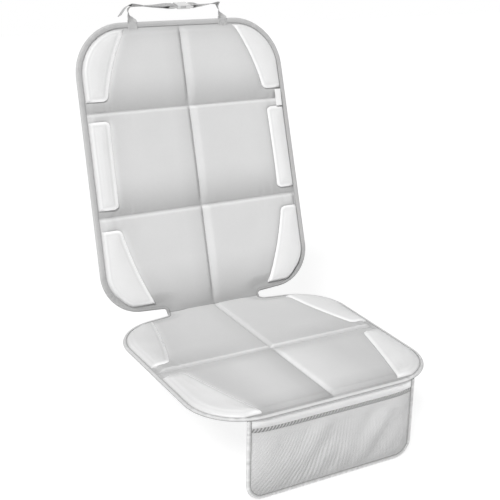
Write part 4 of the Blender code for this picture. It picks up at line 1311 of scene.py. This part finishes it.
def webbing(name, path, node):
    """Flat webbing along a path, thicker along its two woven edges."""
    half = STRAP_WIDTH / 2
    thick = STRAP_THICKNESS / 2
    over = (
        (-half, 0.0), (-half + 0.0004, thick), (-half + 0.0016, thick), (-half + 0.0022, thick * 0.8),
        (0.0, thick * 0.85), (half - 0.0022, thick * 0.8), (half - 0.0016, thick), (half - 0.0004, thick),
    )
    profile = over + tuple((-side, -lift) for side, lift in over)
    sections = []
    flat = []
    travelled = 0.0
    last = len(path) - 1
    for number, (point, width) in enumerate(path):
        tangent = (path[min(number + 1, last)][0] - path[max(number - 1, 0)][0]).normalized()
        width = (width - tangent * width.dot(tangent)).normalized()
        normal = tangent.cross(width)
        if number:
            travelled += (point - path[number - 1][0]).length
        sections.append([tuple(point + width * side + normal * lift) for side, lift in profile])
        flat += [(side, travelled, 0.0) for side, lift in profile]
    made = swept(name, sections, WEBBING, False, {"flat": np.array(flat)})
    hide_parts(node)


def strap_frame():
    """Directions on the back panel, and the buckle's own axes and centre."""
    across = Vector((1.0, 0.0, 0.0))
    up = (bent(0.0, BACK_LENGTH, 0.0) - bent(0.0, BACK_LENGTH - 0.1, 0.0)).normalized()
    front = across.cross(up).normalized()
    width = (up * math.cos(STRAP_TILT) - front * math.sin(STRAP_TILT)).normalized()
    face = across.cross(width).normalized()
    centre = bent(BUCKLE_OFFSET, BACK_LENGTH + STRAP_RISE - STRAP_SAG, 0.0)
    return across, front, width, face, centre


def riser_keys(hand, across, front):
    """Key places of one strap from its sewn end to the start of its level run."""
    lift = TAPE_TOP + GAP + STRAP_THICKNESS / 2
    spread = hand * STRAP_SPREAD
    turn = hand * STRAP_TURN
    lean = spread - STRAP_LEAN
    run = BACK_LENGTH + STRAP_RISE
    twisted = across * 0.48 - front * 0.88
    return [
        (bent(spread, BACK_LENGTH - STRAP_SEWN, lift), across),
        (bent(spread, BACK_LENGTH - STRAP_SEWN / 2, lift), across),
        (bent(spread, BACK_LENGTH, lift), across),
        (bent(spread, BACK_LENGTH + TAPE_STACK + STRAP_LEAVE, lift), across),
        (bent(spread - STRAP_LEAN / 2, BACK_LENGTH + STRAP_RISE * 0.25, lift * 0.9), across + twisted),
        (bent(lean, BACK_LENGTH + STRAP_RISE * 0.48, lift * 0.6), twisted),
        (bent(lean, run - STRAP_TURN * 1.05, lift * 0.3), twisted),
        (bent(spread - turn * 0.30, run - STRAP_TURN * 0.26, 0.0), -front),
        (bent(spread - turn, run, 0.0), -front),
    ]


def bow(centre, across, face, width, slot, lift, hand):
    """The half turn of a strap round a buckle's bar, through one slot."""
    turn = []
    for step in range(1, BOW_STEPS):
        angle = math.pi * step / BOW_STEPS
        along = slot + hand * (STRAP_OVER - math.sin(angle) * (SLOT_LENGTH - STRAP_OVER))
        turn.append((centre + across * along + face * (hand * lift * math.cos(angle)), width))
    return turn


def headrest_strap():
    """The two halves of the strap; each wraps a bar of the buckle."""
    across, front, width, face, centre = strap_frame()
    lift = BAR_THICKNESS / 2 + GAP + STRAP_THICKNESS / 2
    spacing = STRAP_THICKNESS + GAP
    run = BACK_LENGTH + STRAP_RISE
    half_turned = width - front * 0.5

    def at_buckle(along, height):
        """A place beside the buckle's centre, along the strap and off its face."""
        return centre + across * along + face * height

    def half(name, node, hand, slot, level_run, returning):
        """One half of the strap, from its sewn end through a slot of the buckle and back."""
        path = smooth_path(riser_keys(hand, across, front) + level_run)
        path += bow(centre, across, face, width, slot, lift, hand)
        webbing(name, path + smooth_path(returning), node)

    # The left half runs under two bars of the plug, up the inner slot and back on top
    half("strap_left_half", "strap_left", -1.0, PLUG_SLOT, [
        (at_buckle(PLUG_END - 0.040, 0.0), half_turned),
        (at_buckle(PLUG_END - 0.014, -lift * 0.5), width),
        (at_buckle(PLUG_END - 0.004, -lift), width),
        (at_buckle(PLUG_END + BAR_LENGTH, -lift), width),
        (at_buckle(PLUG_SLOT - STRAP_OVER, -lift), width),
    ], [
        (at_buckle(PLUG_SLOT - STRAP_OVER, lift), width),
        (at_buckle(PLUG_END + BAR_LENGTH, lift), width),
        (at_buckle(PLUG_END - 0.004, lift), width),
        (at_buckle(PLUG_END - 0.016, lift * 0.4 + spacing * 0.6), width),
        (at_buckle(PLUG_END - 0.040, spacing * 1.3), half_turned),
        (bent(-STRAP_SPREAD + STRAP_TURN, run + spacing * 1.3, 0.0), -front),
        (bent(-STRAP_SPREAD, run + spacing, 0.0), -front),
        (bent(-STRAP_SPREAD - TAIL_REACH * 0.4, run - TAIL_DROP * 0.2, 0.0), -front),
        (bent(-STRAP_SPREAD - TAIL_REACH, run - TAIL_DROP, 0.0), -front),
    ])

    # The right half goes down through the socket's slot and is sewn back under itself
    half("strap_right_half", "strap_right", 1.0, SOCKET_SLOT, [
        (at_buckle(SOCKET_END + 0.026, 0.0), half_turned),
        (at_buckle(SOCKET_END + 0.012, lift * 0.6), width),
        (at_buckle(SOCKET_END + 0.004, lift), width),
        (at_buckle(SOCKET_SLOT + STRAP_OVER, lift), width),
    ], [
        (at_buckle(SOCKET_SLOT + STRAP_OVER, -lift), width),
        (at_buckle(SOCKET_END + 0.004, -lift), width),
        (at_buckle(SOCKET_END + 0.012, lift * 0.6 - spacing * 1.8), width),
        (at_buckle(SOCKET_END + SEWN_RETURN, -spacing), half_turned),
    ])

    # A sewn box with a cross on each end
    height = TAPE_TOP + GAP + STRAP_THICKNESS + 0.0001
    for hand, side, thread in ((-1.0, "left", THREAD_PALE), (1.0, "right", THREAD_DARK)):
        left = hand * STRAP_SPREAD - BOX_HALF
        right = hand * STRAP_SPREAD + BOX_HALF
        low = BACK_LENGTH - STRAP_SEWN + 0.0025
        high = BACK_LENGTH - 0.0035
        corners = ((left, low), (right, low), (right, high), (left, high), (left, low), (right, high))
        runs = []
        for start, end in (*zip(corners, corners[1:]), ((left, high), (right, low))):
            line = crease_line(start, end, 0.002)
            runs.append((bend(line, height), up_normals(line)))
        stitches("strap_stitches_" + side, runs, thread, BOX_STITCH, BOX_PITCH)


def side_tag():
    """A bare woven tag, sewn in at the right-hand binding over the upper seam."""
    outer = read_line(TAPE_EDGE, UPPER_SEAM)
    shares = np.array([(-1.0, -0.5), (0.0, -0.5), (0.0, 0.5), (-1.0, 0.5), (-1.0, -0.5)])
    corners = np.array([outer, UPPER_SEAM]) + shares * np.array([TAG_WIDTH, TAG_LENGTH])
    line, _ = filled(corners, np.tile([1.0, 0.0], (5, 1)), 0.0015)
    places, faces = triangles(line[:-1], [], TAG_STEP)
    away = unit((outer - places[:, 0]) / TAG_WIDTH)
    curl = TAG_CURL * away * np.sin((places[:, 1] - UPPER_SEAM) / TAG_LENGTH * 7.0)
    lift = face_shape(places)[0].max() + curl
    lift = PATCH_FLOOR + TAG_CURL + (lift - PATCH_FLOOR) * unit(away / 0.25)
    made = sheet_solid(
        "woven_side_tag", places, faces, lift + TAG_THICKNESS, lift, bend, TAG_CLOTH,
    )
    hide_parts("side_tag")


# Stage


def lamp(name, kind, place, aim, **settings):
    """A lamp at a place, turned towards another place."""
    light = bpy.data.lights.new(name, kind)
    for label, value in settings.items():
        setattr(light, label, value)
    made = bpy.data.objects.new(name, light)
    made.location = place
    made.rotation_mode = "QUATERNION"
    made.rotation_quaternion = (Vector(aim) - Vector(place)).to_track_quat("-Z", "Y")
    bpy.context.scene.collection.objects.link(made)


def cleared(owner):
    """A maker for a world's or material's nodes, which start empty."""
    owner.use_nodes = True
    owner.node_tree.nodes.clear()
    return Nodes(owner.node_tree)


def white_for_camera(make, lit, white):
    """Which of two shaders shows: white for what sees it, and the lit one for what it lights."""
    path = make.tree.nodes.new("ShaderNodeLightPath")
    seen = make.math("MAXIMUM", path.outputs["Is Camera Ray"], path.outputs["Is Glossy Ray"])
    seen = make.math("MAXIMUM", seen, path.outputs["Is Transmission Ray"])
    return make.add("ShaderNodeMixShader", {0: seen, 1: lit, 2: white})


def studio():
    """A pale floor, soft lamps and the camera at the photograph's angle."""
    scene = bpy.context.scene
    scene.view_settings.view_transform = "Standard"
    scene.world = bpy.data.worlds.new("studio")
    make = cleared(scene.world)
    lit = make.add("ShaderNodeBackground", {"Color": WHITE, "Strength": 0.22})
    white = make.add("ShaderNodeBackground", {"Color": WHITE, "Strength": 1.0})
    end = make.tree.nodes.new("ShaderNodeOutputWorld")
    make.put(end.inputs["Surface"], white_for_camera(make, lit, white))

    mesh = bpy.data.meshes.new("floor")
    corners = ((-1.0, -1.0), (1.0, -1.0), (1.0, 1.0), (-1.0, 1.0))
    level = -POCKET_DROP - 0.004
    mesh.from_pydata([(x * FLOOR_REACH, y * FLOOR_REACH, level) for x, y in corners], [], [(0, 1, 2, 3)])
    material = bpy.data.materials.new("pale floor")
    make = cleared(material)
    lit = make.add("ShaderNodeBsdfDiffuse", {"Color": (0.80, 0.80, 0.80, 1.0)})
    shade = make.add("ShaderNodeBsdfDiffuse", {"Color": (0.24, 0.24, 0.24, 1.0)})
    glow = make.add("ShaderNodeEmission", {"Color": WHITE, "Strength": 0.88})
    white = make.add("ShaderNodeAddShader", {0: shade, 1: glow})
    end = make.tree.nodes.new("ShaderNodeOutputMaterial")
    make.put(end.inputs["Surface"], white_for_camera(make, lit, white))
    mesh.materials.append(material)
    floor = bpy.data.objects.new("floor", mesh)
    scene.collection.objects.link(floor)

    lamp("fill_light", "AREA", (0.9, -2.6, 0.9), (0.0, 0.1, 0.2), shape="DISK", size=2.2, energy=12.0)
    lamp("key_light", "SUN", (0.0, 0.0, 0.0), (0.52, 0.50, -0.70), energy=2.75, angle=0.28)

    azimuth, elevation, roll = (math.radians(angle) for angle in CAMERA_ANGLES)
    back = Vector((
        math.sin(azimuth) * math.cos(elevation),
        -math.cos(azimuth) * math.cos(elevation),
        math.sin(elevation),
    ))
    right = Vector((math.cos(azimuth), math.sin(azimuth), 0.0))
    up = back.cross(right)
    right, up = (
        right * math.cos(roll) + up * math.sin(roll),
        up * math.cos(roll) - right * math.sin(roll),
    )
    aside, above, away = CAMERA_PLACE
    place = Vector((0.0, FOLD_Y, 0.0)) + right * aside + up * above + back * away
    lens = bpy.data.cameras.new("camera")
    lens.sensor_width = CAMERA_SENSOR
    lens.lens = CAMERA_LENS
    camera = bpy.data.objects.new("camera", lens)
    camera.matrix_world = Matrix((
        (right.x, up.x, back.x, place.x),
        (right.y, up.y, back.y, place.y),
        (right.z, up.z, back.z, place.z),
        (0.0, 0.0, 0.0, 1.0),
    ))
    scene.collection.objects.link(camera)
    scene.camera = camera


def main():
    """Builds every piece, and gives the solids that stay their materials."""
    studio()
    quilted_face("back_quilt", "back")
    quilted_face("seat_quilt", "seat")
    for name in PATCHES:
        for hand in ("left", "right"):
            leather_pad(name, hand)
    edge_tape()
    sew_mat()
    grip_dots()
    sewn_pocket()
    headrest_strap()
    side_tag()
    for node, material in (
        ("back_backing", BACKING), ("seat_backing", BACKING), ("back_foam", FOAM), ("seat_foam", FOAM),
        ("buckle_socket", SOCKET_PLASTIC), ("buckle_plug", PLUG_PLASTIC),
    ):
        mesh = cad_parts[node].data
        mesh.materials.clear()
        mesh.materials.append(material)


main()
